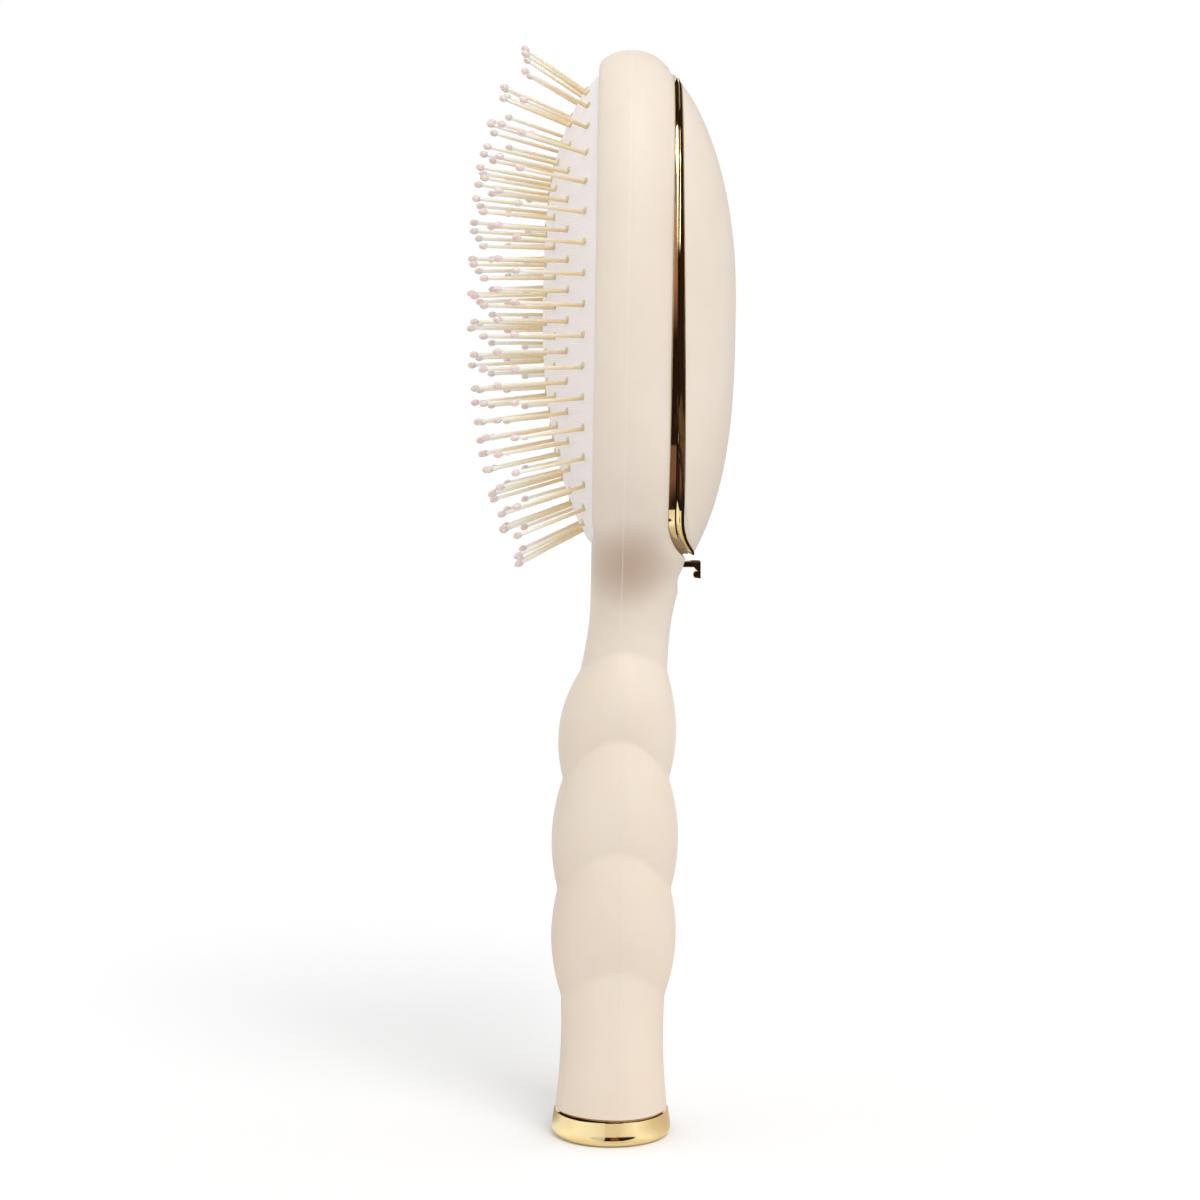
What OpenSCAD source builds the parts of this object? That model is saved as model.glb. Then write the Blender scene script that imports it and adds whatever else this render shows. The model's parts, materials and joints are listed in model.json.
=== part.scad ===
// Detangling brush: bubble handle, pinned air cushion and a lidded compartment in the back.
// It stands on its metal cap with Z up. The pins point towards -X and the lid towards +X.
// The origin is the centre of the cap's bottom face.

/* [Overall] */
// Height of the brush standing on its cap
total_h = 244.2; // [242:0.2:250]

/* [Head] */
// Length of the oval head
head_len = 116.6; // [115:0.2:119]
// Width of the oval head
head_w = 80; // [78:0.5:84]
// Bristle face of the head, forward of the handle's axis
head_front = 3.55; // [3.2:0.05:4]
// Lid seat of the head, behind the handle's axis
head_seat = 13; // [12.6:0.1:13.6]
// Angle that the head leans back, in degrees
head_lean = 0.95; // [0.5:0.05:1.5]
// Width that the rounded front edge takes from the face
rim_r = 4; // [3.6:0.1:4.8]
// Width that the rounded back shoulder takes from the back
shoulder_r = 9.8; // [9:0.1:10.6]
// Width of the rounding beside the lip, where the lid's lower end stands on the neck
lip_r = 5.6; // [5.2:0.1:6.4]
// How full the ovals of head, cushion and lid are: 2 is an ellipse
oval_power = 2.5; // [2.3:0.05:2.7]
// How far the shoulder's curve would run on past the lid seat
shoulder_over = 0.8; // [0.6:0.05:1]
// Place of the parting line at the cap
part_low = 1.2; // [0.8:0.1:1.6]
// Place of the parting line at the neck
part_neck = 2.2; // [1.8:0.1:2.6]
// Place of the parting line at the crown
part_top = 4.6; // [4.2:0.1:5]

/* [Neck] */
// Height of the narrow part of the neck, as a share of the height under the head
neck_share = 0.909; // [0.88:0.005:0.93]
// Height of the lip below the lid, over the head's lowest point
lip_over = 2.9; // [2.6:0.1:3.2]
// Width of the neck
neck_w = 22; // [20:0.5:24]
// Length over which the neck's sides run into the head
neck_blend = 15; // [12:0.5:18]
// How far the seat sweeps back to reach the lip
lip_rise = 4.5; // [4:0.1:5]
// Length of that sweep along the head
sweep_len = 11; // [10:0.5:12]

/* [Handle] */
// Height of the seam on top of the tail, as a share of the height under the head
seam_tail_share = 0.246; // [0.2:0.005:0.28]
// Height of the seam on top of the low bubble, as such a share
seam_low_share = 0.432; // [0.4:0.005:0.46]
// Height of the seam on top of the middle bubble, as such a share
seam_mid_share = 0.628; // [0.6:0.005:0.65]
// Height of the seam on top of the high bubble, as such a share
seam_high_share = 0.819; // [0.79:0.005:0.83]
// Depth at the tail's narrowest place
tail_d = 23.3; // [22:0.1:25]
// Depth at the seam on top of the tail
seam_tail_d = 23.5; // [22:0.1:25]
// Depth at the seam on top of the low bubble
seam_low_d = 25.6; // [24:0.1:27]
// Depth at the seam on top of the middle bubble
seam_mid_d = 24; // [22:0.1:26]
// Depth at the seam on top of the high bubble
seam_high_d = 19.6; // [18:0.1:21]
// Swell of the low bubble over its seams, on each face
swell_low = 1.8; // [1.2:0.1:2.6]
// Swell of the middle bubble
swell_mid = 1.9; // [1.2:0.1:2.6]
// Swell of the high bubble
swell_high = 2.3; // [1.6:0.1:3]
// Rise of the seam on top of the tail at the handle's sides
arch_tail = 7.1; // [5:0.1:9]
// Rise of the seam on top of the low bubble
arch_low = 9.9; // [7:0.1:11]
// Rise of the seam on top of the middle bubble
arch_mid = 9.8; // [7:0.1:11]
// Rise of the seam on top of the high bubble
arch_high = 4.8; // [3:0.1:6]
// How far the top seam lies behind the cap's axis
neck_shift = 2.9; // [2.4:0.1:3.2]
// Wall of the hollow handle
handle_wall = 2.6; // [2.2:0.1:3.2]

/* [Cap] */
// Height of the metal cap
cap_h = 6.2; // [5.4:0.1:7.5]
// Diameter of the cap at its top edge
cap_top_d = 25.2; // [24:0.1:27]
// How far the cap's foot stands out from its top edge, all round
cap_flare = 0.8; // [0.4:0.1:1.2]
// Rounding of the cap's bottom edge
cap_edge = 1.8; // [1.2:0.1:2.4]
// Wall of the cap
cap_wall = 1; // [0.8:0.1:1.3]
// Diameter of the plug's stem inside the handle
plug_d = 18.6; // [17.6:0.1:19]
// Length of the plug's stem inside the handle
plug_len = 12; // [9:0.5:15]

/* [Cushion] */
// Width of the rim beside the cushion
rim_w = 5.5; // [5:0.1:6]
// Width of the rim above and below the cushion
rim_end_w = 5.7; // [5.4:0.1:6.2]
// Height of the cushion's crown over the rim
pad_crown = 11.85; // [10.5:0.05:12.5]
// Thickness of the rubber skin
pad_skin = 1.5; // [1.2:0.1:1.8]
// Width of the cushion's hidden flange
pad_flange = 1.8; // [1.4:0.1:2]
// Thickness of the flange
flange_t = 1.4; // [1.2:0.1:1.6]
// Thickness of the front wall that holds the flange
rim_wall = 2.2; // [2:0.1:2.5]
// Thickness of the plate behind the cushion
plate_t = 1.6; // [1.4:0.1:1.8]

/* [Pins] */
// Length of a pin from the skin to its tip
pin_len = 17.3; // [14:0.1:19]
// Diameter of a pin
pin_d = 0.84; // [0.7:0.02:1]
// Diameter of a pin's tip
tip_d = 1.45; // [1.2:0.05:1.7]
// Length of a pin's tip
tip_len = 1.9; // [1.6:0.1:2.3]
// Length of the thicker foot
foot_len = 1; // [0.7:0.1:1.4]
// Diameter of the foot
foot_d = 1.2; // [1:0.05:1.4]
// Distance from the cushion's side to the outer ring of pins
ring_inset = 4.7; // [4.2:0.1:5.2]
// Distance from the cushion's top to the outer ring
ring_inset_up = 3.6; // [3.2:0.1:4.4]
// Distance from the cushion's bottom to the outer ring
ring_inset_down = 2.9; // [2.6:0.1:4]
// Distance between rings of pins
ring_gap = 7; // [6.6:0.1:7.2]
// Pins in the outer ring
outer_count = 40; // [34:2:42]
// Pins in the second ring
second_count = 34; // [28:2:36]
// Pins in the third ring
third_count = 28; // [22:2:30]
// Pins in the fourth ring
fourth_count = 22; // [16:2:24]
// Pins in the centre row
centre_count = 8; // [5:1:8]
// Thickness of the strip that joins a ring of pins under the skin
strip_t = 0.8; // [0.6:0.1:1]
// Width of that strip
strip_w = 2; // [1.6:0.1:2.2]

/* [Compartment] */
// Distance from the lid's edge to the tray's body at the sides
tray_in = 5.8; // [5.6:0.1:6.6]
// Distance from the lid's edge to the tray's body at the top
tray_in_up = 7.7; // [7.4:0.1:9]
// Distance from the lid's edge to the tray's body at the bottom
tray_in_down = 11.6; // [11:0.1:13]
// Wall of the tray
tray_wall = 1.4; // [1.2:0.1:1.8]
// Floor of the tray
tray_floor = 1.2; // [1:0.1:1.5]
// Depth of the tray from the lid seat
tray_depth = 7.4; // [7:0.1:7.8]
// Width of the tray's flange
tray_flange = 2.8; // [2.4:0.1:3]
// Thickness of the tray's flange
tray_flange_t = 0.8; // [0.7:0.1:1]

/* [Lid] */
// Width of the body's shoulder beside the lid
lid_in = 5.7; // [5.5:0.1:6.5]
// Distance from the crown to the lid
lid_in_up = 5.5; // [5.3:0.1:5.9]
// Distance from the head's lowest point to the lid
lid_in_down = 3.6; // [3.4:0.1:3.9]
// How far the dome's lower curve would run on past the lid's edge
dome_past = 7.4; // [6:0.2:9]
// Height of the dome over the seat
dome_h = 15.1; // [13:0.1:17]
// Wall of the dome
lid_wall = 1.8; // [1.5:0.1:2.2]
// Height of the gold seat ring at the top of the lid
trim_high_t = 0.85; // [0.7:0.05:1]
// Height of the gold seat ring at the bottom of the lid
trim_low_t = 1.7; // [1.5:0.05:1.9]
// Height of the lid's bezel at the top of the lid
bezel_high_t = 0.9; // [0.8:0.05:1.1]
// Height of the lid's bezel at the bottom of the lid
bezel_low_t = 1.8; // [1.6:0.05:2]
// Width of the gold seat ring
trim_w = 2; // [1.6:0.1:2.2]
// Width of the bezel
bezel_w = 5; // [4.6:0.1:5.4]
// Width of the frame inside the bezel
frame_w = 5; // [4.5:0.1:6]
// Thickness of the frame
frame_t = 1.1; // [0.9:0.1:1.2]

/* [Hinge] */
// Distance from the lid's top edge down to the hinge axis
hinge_in = 0.9; // [0.8:0.05:1]
// Hinge axis, behind the handle's axis
hinge_x = 12.8; // [12.7:0.05:12.9]
// Diameter of the hinge pin
hinge_pin_d = 1; // [0.8:0.05:1.1]
// Diameter of the hinge barrel
barrel_d = 2; // [1.8:0.05:2]
// Width of the lid's knuckle
knuckle_w = 7; // [6:0.2:7.6]
// Width of each ear of the bracket
ear_w = 2.8; // [2.2:0.1:3]
// Radius of the room that the lid's edge turns in
swing_r = 2.3; // [2.2:0.05:2.4]

/* [Release] */
// Width of the release tab
tab_w = 6; // [5:0.2:7]
// Distance from the lip down to the tab's bar
tab_drop = 1.2; // [1.1:0.05:1.4]
// Thickness of the tab's bar
tab_t = 1.3; // [1.1:0.05:1.4]
// Outer face of the tab, behind the handle's axis
tab_x = 20.2; // [19.8:0.1:21]
// Length of the tab's leg
tab_leg = 3.8; // [3.4:0.1:4.2]
// Thickness of the leg
tab_leg_t = 1.6; // [1.4:0.1:1.8]
// Travel of the tab
tab_travel = 2.2; // [1.8:0.1:2.3]

/* [Screws] */
// Diameter of the screws' shanks
screw_d = 1.8; // [1.6:0.1:2]
// Diameter of the screws' heads
screw_head_d = 3.8; // [3.4:0.1:4]
// Height of the screws' heads
screw_head_h = 1; // [0.8:0.05:1.1]

/* [Clearances] */
// Gap between pieces that seat on each other
seat_gap = 0.1; // [0.08:0.01:0.12]
// Gap round the cushion's neck in the rim
pad_gap = 0.2; // [0.15:0.01:0.25]
// Radial gap of the hinge pin in the turning knuckle
pin_gap = 0.05; // [0.03:0.01:0.07]
// Gap beside sliding and turning pieces
side_gap = 0.2; // [0.15:0.01:0.25]

/* [Hidden] */

cream = [0.92, 0.87, 0.81];
gold = [0.87, 0.75, 0.5];
pink_rubber = [0.92, 0.88, 0.85];
nylon = [0.82, 0.74, 0.6];
steel = [0.72, 0.73, 0.75];
white_resin = [0.93, 0.93, 0.9];

// One overrun serves all cuts
over = 1;
head_z = total_h - head_len / 2;
half_len = head_len / 2;
cap_d = cap_top_d + 2 * cap_flare;
half_w = head_w / 2;
pad_w = head_w - 2 * rim_w;
pad_len = head_len - 2 * rim_end_w;
lid_w = head_w - 2 * lid_in;
lid_up = half_len - lid_in_up;
lid_down = half_len - lid_in_down;
dome_down = lid_down + dome_past;
hinge_up = lid_up - hinge_in;
tray_w = lid_w - 2 * tray_in;
tray_up = lid_up - tray_in_up;
tray_down = lid_down - tray_in_down;
slope = tan(head_lean);
// Width of the handle as a share of its depth
round_share = 1.04;
head_low = head_z - half_len;
neck_z = head_low * neck_share;
lip_z = head_low + lip_over;
seam_tail = head_low * seam_tail_share;
seam_low = head_low * seam_low_share;
seam_mid = head_low * seam_mid_share;
seam_high = head_low * seam_high_share;
sweep_start = head_z - lip_z - sweep_len;
tab_z = lip_z - tab_drop;
// Power of the sweep: it starts flat and ends steep
sweep_power = 2.8;
// Share of the neck's shift that comes evenly up the handle, and how late the rest comes
lean_share = 0.48;
neck_bend_power = 12;

function mix(a, b, t) = a + (b - a) * t;
function ease(t) = let (u = min(1, max(0, t))) u * u * (3 - 2 * u);
function ease_between(z, a, b) = ease((z - a) / (b - a));

// Size of the full oval through a point, and a sine or cosine stretched onto that oval
function oval_norm(u, v) = pow(pow(abs(u), oval_power) + pow(abs(v), oval_power), 1 / oval_power);
function full(v, power = oval_power) = sign(v) * pow(abs(v), 2 / power);
function oval_half(w, share) = w * pow(1 - pow(share, oval_power), 1 / oval_power);

// Place of the parting line, which is also the widest line of the body
function part_x(z) = z < neck_z
    ? mix(part_low, part_neck, z / neck_z)
    : mix(part_neck, part_top, (z - neck_z) / (total_h - neck_z));

// Lid seat at a length l from the middle of the head, in the head's own frame
function seat_x(l) = head_seat + lip_rise * pow(max(0, (-l - sweep_start) / sweep_len), sweep_power);
function trim_t(l) = mix(trim_low_t, trim_high_t, ease_between(l, -lid_down, lid_up));
function bezel_t(l) = mix(bezel_low_t, bezel_high_t, ease_between(l, -lid_down, lid_up));
function bezel_x(l) = seat_x(l) + trim_t(l) + seat_gap;
function border_x(l) = bezel_x(l) + bezel_t(l);

// Neck profiles as shares of the neck's height and of its change in depth
neck_front_shares = [[0, 1], [0.16, 0.64], [0.4, 0.2], [0.56, 0.1], [1, 0]];
neck_back_shares = [[0, 0], [0.18, 0.06], [0.46, 0.26], [0.63, 0.49], [0.69, 0.59],
    [0.78, 0.565], [0.84, 0.66], [0.9, 0.83], [1, 1]];

// Bubbles from the low one up: seams below and above, depths, swell, arches, shifts below and above
function shift_at(z) = let (u = max(0, z - cap_h) / (seam_high - cap_h))
    neck_shift * mix(pow(u, neck_bend_power), u, lean_share);
function bubble_depth(z, z0, z1, d0, d1, swell) =
    let (u = (z - z0) / (z1 - z0)) mix(d0, d1, u) + 2 * swell * 4 * u * (1 - u);
function tail_depth(z) = let (u = (z - cap_h) / (seam_tail - cap_h))
    mix(cap_top_d, seam_tail_d, u) - (cap_top_d + seam_tail_d - 2 * tail_d) * 2 * u * (1 - u);
function handle_depth(z) =
    z < seam_tail ? tail_depth(z)
    : z < seam_low ? bubble_depth(z, seam_tail, seam_low, seam_tail_d, seam_low_d, swell_low)
    : z < seam_mid ? bubble_depth(z, seam_low, seam_mid, seam_low_d, seam_mid_d, swell_mid)
    : bubble_depth(min(z, seam_high), seam_mid, seam_high, seam_mid_d, seam_high_d, swell_high);
function arch_at(z) =
    z < seam_tail ? arch_tail * (z - cap_h) / (seam_tail - cap_h)
    : z < seam_low ? mix(arch_tail, arch_low, (z - seam_tail) / (seam_low - seam_tail))
    : z < seam_mid ? mix(arch_low, arch_mid, (z - seam_low) / (seam_mid - seam_low))
    : z < seam_high ? mix(arch_mid, arch_high, (z - seam_mid) / (seam_high - seam_mid))
    : arch_high * (1 - ease_between(z, seam_high, neck_z + arch_high));

// Front and back of the body on its middle line
function front_x(z) =
    let (low = shift_at(seam_high) - seam_high_d / 2, rim_z = head_low + rim_r + over,
        high = slope * (rim_z - head_z) - head_front)
    z < seam_high ? shift_at(z) - handle_depth(z) / 2
    : z < rim_z ? mix(high, low, lookup((z - seam_high) / (rim_z - seam_high), neck_front_shares))
    : slope * (z - head_z) - head_front;
function back_x(z) =
    let (low = shift_at(seam_high) + seam_high_d / 2, high = seat_x(lip_z - head_z) + slope * (lip_z - head_z))
    z < seam_high ? shift_at(z) + handle_depth(z) / 2
    : z <= lip_z ? mix(low, high, lookup((z - seam_high) / (lip_z - seam_high), neck_back_shares))
    : seat_x(z - head_z) + slope * (z - head_z) + shoulder_over;

// Distance in from the head's oval outline, and in from the neck's sides
function oval_in(y, l) =
    let (u = abs(y) / half_w, v = abs(l) / half_len, r = oval_norm(u, v),
        g = norm([pow(u, oval_power - 1) / half_w, pow(v, oval_power - 1) / half_len]))
    g == 0 ? half_w : (1 - r) * pow(r, oval_power - 1) / g;
function strip_half(z) =
    z < seam_high ? handle_depth(z) * round_share / 2
    : z < neck_z ? mix(seam_high_d * round_share, neck_w, (z - seam_high) / (neck_z - seam_high)) / 2
    : neck_w / 2 - max(0, z - head_low - neck_w) * 2;
function soft_max(a, b, k) = max(a, b) + pow(max(0, k - abs(a - b)), 2) / (4 * k);
function outline_in(y, z) = soft_max(oval_in(y, z - head_z), strip_half(z) - y, neck_blend);
function find_half(z, lo, hi, n = 24) =
    let (m = (lo + hi) / 2)
    n == 0 ? m : outline_in(m, z) > 0 ? find_half(z, m, hi, n - 1) : find_half(z, lo, m, n - 1);
function half_at(z) = z < seam_high ? strip_half(z) : find_half(z, 0, head_w);

// Share of the head's edge rounding in the section: 0 in the handle and 1 in the head
function head_share(z) = ease_between(z, neck_z - neck_w / 4, head_low + neck_w);
function edge_w(z, b, side) =
    side < 0 ? mix(b, rim_r, head_share(z))
    : mix(b, mix(lip_r, shoulder_r, ease_between(z, lip_z, head_low + 2 * neck_w)),
        ease_between(z, neck_z - neck_w / 4, lip_z));
function round_in(s, w) = let (u = min(1, max(0, s / w))) sqrt(1 - (1 - u) * (1 - u));
function lateral(t, b, w) =
    let (e = min(w, b), k = 0.5 + 0.5 * e / b)
    t < 1 - k ? (b - e) * t / (1 - k) : b - e + e * sin(90 * (t - 1 + k) / k);

// A point of the body: level z, place t across from -1 to 1, side -1 front or 1 back, inset from the skin
function body_point(z, t, side, inset) =
    let (b = half_at(z), w = edge_w(z, b, side), y = lateral(abs(t), b, w),
        lift = arch_at(z) * pow(y / b, 2), zz = z + lift,
        s = z < seam_high ? b - y : outline_in(y, z), reach = round_in(s, w),
        xe = part_x(zz), deep = side < 0 ? xe - front_x(z) : back_x(z) - xe)
    [xe + side * (deep - inset) * reach, sign(t) * y * (b - inset) / b, zz];

// Levels of the body from the cap to just below the crown
bubble_steps = 7;
tail_steps = 4;
neck_steps = 16;
crown_steps = 17;
// The last level stops this share of a step short of the crown
crown_rest_share = 0.35;
across = 14;
// The finer levels of the crown start this share of the neck's width over the head's lowest point
bend_share = 1.6;
head_bend = head_low + neck_w * bend_share;
function span(a, b, n, first = 0) = [for (i = [first:n]) mix(a, b, i / n)];
crown_from = asin((head_bend - head_z) / half_len);
body_levels = concat(
    span(cap_h, seam_tail, tail_steps),
    span(seam_tail, seam_low, bubble_steps, 1),
    span(seam_low, seam_mid, bubble_steps, 1),
    span(seam_mid, seam_high, bubble_steps, 1),
    span(seam_high, lip_z, neck_steps / 2, 1),
    span(lip_z, head_bend, neck_steps / 2, 1),
    [for (i = [1:crown_steps])
        head_z + half_len * sin(mix(crown_from, 90, i / (crown_steps + crown_rest_share)))]);
cavity_levels = span(cap_h + plug_len + over, seam_high, 3 * bubble_steps);

// Quads of a grid of points as triangles, and the same turned inside out
function grid_faces(rows, cols) = [for (i = [0:rows - 2], j = [0:cols - 2])
    let (a = i * cols + j, b = a + 1, c = a + cols, d = c + 1) each [[a, b, d], [a, d, c]]];
function turned(faces, flip) = flip ? [for (f = faces) [for (i = [len(f) - 1:-1:0]) f[i]]] : faces;

// One half of the body as a closed form: side -1 is the front and 1 the back
module body_half(side) {
    rows = len(body_levels);
    cols = across + 1;
    skin = [for (z = body_levels, j = [0:across]) body_point(z, 2 * j / across - 1, side, 0)];
    top = rows * cols;
    flat = [for (i = [0:rows - 2]) let (a = i * cols, b = a + cols - 1)
        each [[a, a + cols, b + cols], [a, b + cols, b]]];
    last = (rows - 1) * cols;
    cap = [for (j = [0:cols - 2]) [last + j, last + j + 1, top]];
    foot = [for (j = [1:cols - 2]) [0, j + 1, j]];
    faces = concat(grid_faces(rows, cols), flat, cap, [[last, top, last + cols - 1]], foot);
    polyhedron(concat(skin, [[part_x(total_h), 0, total_h]]), turned(faces, side > 0));
}

// Hollow of one half of the handle, run over the parting plane with no corner on it
module handle_cavity(side) {
    cols = across / 2 + 1;
    rows = len(cavity_levels);
    skin = [for (z = cavity_levels, j = [0:cols - 1])
        body_point(z, 2 * j / (cols - 1) - 1, side, handle_wall) - [side * seat_gap / 2, 0, 0]];
    edge = [for (z = cavity_levels, j = [0, cols - 1])
        body_point(z, 2 * j / (cols - 1) - 1, side, handle_wall) - [side * over, 0, 0]];
    n = rows * cols;
    walls = [for (i = [0:rows - 2]) let (a = i * cols, b = a + cols - 1, c = n + 2 * i, d = c + 1)
        each [[a, a + cols, c + 2], [a, c + 2, c], [c, c + 2, d + 2], [c, d + 2, d],
            [d, d + 2, b + cols], [d, b + cols, b]]];
    low = concat([[n, 1, 0]], [for (j = [1:cols - 3]) [n, j + 1, j]], [[n, n + 1, cols - 2]],
        [[n + 1, cols - 1, cols - 2]]);
    h = (rows - 1) * cols;
    m = n + 2 * (rows - 1);
    high = concat([for (j = [0:cols - 3]) [m, h + j, h + j + 1]], [[m, h + cols - 2, m + 1]],
        [[m + 1, h + cols - 2, h + cols - 1]]);
    polyhedron(concat(skin, edge), turned(concat(grid_faces(rows, cols), walls, low, high), side > 0));
}

// The head's own frame: x is square to the lid seat, z runs up the head from its middle
module in_head() {
    translate([0, 0, head_z]) rotate([0, head_lean, 0]) children();
}

// Oval outline in that frame, with its own reach up and down
oval_sides = 72;
module oval_prism(w, up, down, x0, x1) {
    pts = [for (i = [0:oval_sides - 1]) let (a = 360 * i / oval_sides)
        [-(sin(a) > 0 ? up : down) * full(sin(a)), w * full(cos(a))]];
    translate([x0, 0, 0]) rotate([0, 90, 0]) linear_extrude(x1 - x0) polygon(pts);
}
module lid_prism(inset, x0, x1) {
    oval_prism(lid_w / 2 - inset, lid_up - inset, lid_down - inset, x0, x1);
}
module side_plate(pts, w) {
    rotate([90, 0, 0]) linear_extrude(w, center = true) polygon(pts);
}
module box_at(x0, x1, w, z0, z1) {
    translate([x0, -w / 2, z0]) cube([x1 - x0, w, z1 - z0]);
}
module rod_x(d, x0, x1, y = 0, z = 0) {
    translate([x0, y, z]) rotate([0, 90, 0]) cylinder(d = d, h = x1 - x0, $fn = 40);
}
module rod_y(d, w, x, z) {
    translate([x, w / 2, z]) rotate([90, 0, 0]) cylinder(d = d, h = w, $fn = 40);
}

// Lengths at which the seat's sweep is drawn
sweep_steps = 10;
far_x = head_seat + dome_h + over;
seat_ls = concat([lid_up + over, 0], [for (i = [0:sweep_steps]) -sweep_start - sweep_len * i / sweep_steps]);
module seat_slab(low_curve, high_curve) {
    side_plate(concat(low_curve, [for (i = [len(high_curve) - 1:-1:0]) high_curve[i]]), head_w);
}

// Crown of the cushion: shares of its width and length set how full it is towards each end
crown_side_power = 1.8;
crown_up_power = 3.2;
crown_down_power = 2.15;
crown_side_round = 1.05;
crown_end_round = 0.82;
// Thickness of the skin at the crown as a share of the skin elsewhere
skin_share = 1.1;
function crown(u, v) =
    let (r = norm([u, v]), s = r == 0 ? 0 : v / r,
        p = mix(crown_side_power, s > 0 ? crown_up_power : crown_down_power, s * s),
        q = mix(crown_side_round, crown_end_round, s * s))
    pow(max(0, 1 - pow(min(1, oval_norm(u, v)), p)), q);
function crown_at(y, l) = pad_crown * crown(y / (pad_w / 2), l / (pad_len / 2));
function crown_normal(y, l, e = pin_d / 2) =
    let (n = [-1, -(crown_at(y + e, l) - crown_at(y - e, l)) / (2 * e),
        -(crown_at(y, l + e) - crown_at(y, l - e)) / (2 * e)]) n / norm(n);

// Planes behind the cushion, in the head's frame
ledge_x = -head_front + rim_wall;
flange_x = ledge_x + flange_t;
plate_x = flange_x + plate_t;

module front_shell() color(cream) difference() {
    body_half(-1);
    in_head() {
        oval_prism(pad_w / 2 + pad_gap, pad_len / 2 + pad_gap, pad_len / 2 + pad_gap,
            -head_front - over, ledge_x + over);
        oval_prism(pad_w / 2 + pad_flange + 2 * pad_gap, pad_len / 2 + pad_flange + 2 * pad_gap,
            pad_len / 2 + pad_flange + 2 * pad_gap, ledge_x, part_top + over);
    }
    handle_cavity(-1);
    translate([0, 0, cap_h - over]) cylinder(d = plug_d + 2 * seat_gap, h = plug_len + 2.5 * over, $fn = 64);
}

tray_x = head_seat - tray_depth;
slot_z0 = tab_z - tab_t - side_gap;
slot_z1 = tab_z + side_gap;
pocket_wider = 2;
pocket_w = tab_w + pocket_wider;
pocket_wall = 1.4;
pocket_x0 = part_neck + pocket_wall;
slider_t = 2.6;
spring_room = 2.4;
slider_x0 = pocket_x0 + tab_travel + spring_room;
slider_x1 = slider_x0 + slider_t;
slider_up = 3.4;
slider_down = 1.6;
pocket_z0 = slot_z0 - slider_down;
pocket_z1 = slot_z1 + slider_up;
catch_w = 5;
catch_t = 1.6;
catch_deep = 3.2;
catch_inset = 0.5;
catch_l1 = catch_inset + bezel_w - lid_down;
catch_l0 = catch_l1 + catch_t;
catch_x0 = head_seat - catch_deep;
bracket_w = knuckle_w + 2 * side_gap + 2 * ear_w;
bracket_reach = 3;
bracket_deep = 2.6;
bracket_base = 1.2;
bracket_toe = 1.5;
bracket_l0 = hinge_up - barrel_d / 2 - bracket_reach;
bracket_x0 = head_seat - bracket_deep;
swing_w = 2 * oval_half(lid_w / 2, (hinge_up - hinge_pin_d / 2) / lid_up) + 4 * side_gap;

// Places of the plate's and the lid's screws, as shares of the cushion's and the lid's size
plate_screw_shares = [0.26, 0.245];
lid_screw_shares = [0.335, 0.24];
module at_corners(w, len, shares) {
    for (y = [-w * shares[0], w * shares[0]], l = [-len * shares[1], len * shares[1]])
        translate([0, y, l]) children();
}
module at_plate_screws() {
    at_corners(pad_w, pad_len, plate_screw_shares) children();
}

module back_shell() color(cream) difference() {
    body_half(1);
    handle_cavity(1);
    translate([0, 0, cap_h - over]) cylinder(d = plug_d + 2 * seat_gap, h = plug_len + 2.5 * over, $fn = 64);
    in_head() {
        // everything behind the lid seat, swept back to the lip
        side_plate(concat([for (l = seat_ls) [seat_x(l), l]],
            [[far_x, -sweep_start - sweep_len], [far_x, lid_up + over]],
            [[far_x, half_len + over], [head_seat, half_len + over]]), head_w + over);
        // well and rebate for the tray
        oval_prism(tray_w / 2 + side_gap, tray_up + side_gap, tray_down + side_gap,
            tray_x - seat_gap, head_seat + over);
        oval_prism(tray_w / 2 + tray_flange + side_gap, tray_up + tray_flange + side_gap,
            tray_down + tray_flange + side_gap, head_seat - tray_flange_t - seat_gap, head_seat + over);
        // hinge bracket's pocket and the room for the turning edge
        box_at(bracket_x0 - seat_gap, head_seat + over, bracket_w + 2 * side_gap,
            bracket_l0 - side_gap, hinge_up);
        rod_y(2 * swing_r, swing_w + over, hinge_x, hinge_up);
        // slot for the lid's catch
        box_at(catch_x0 - over, head_seat + over, catch_w + 4 * side_gap,
            catch_l1 - 4 * side_gap, catch_l0 + 4 * side_gap);
        // screws that clamp the cushion's plate
        at_plate_screws() {
            rod_x(screw_d + 2 * side_gap, -over, tray_x);
            rod_x(screw_head_d + 2 * side_gap, tray_x - screw_head_h - seat_gap, tray_x);
        }
    }
    // pocket for the release slider and the slot for its bar
    box_at(pocket_x0, slider_x1 + side_gap, pocket_w, pocket_z0, pocket_z1);
    box_at(slider_x1, tab_x, tab_w + 2 * side_gap, slot_z0, slot_z1);
}

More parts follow.
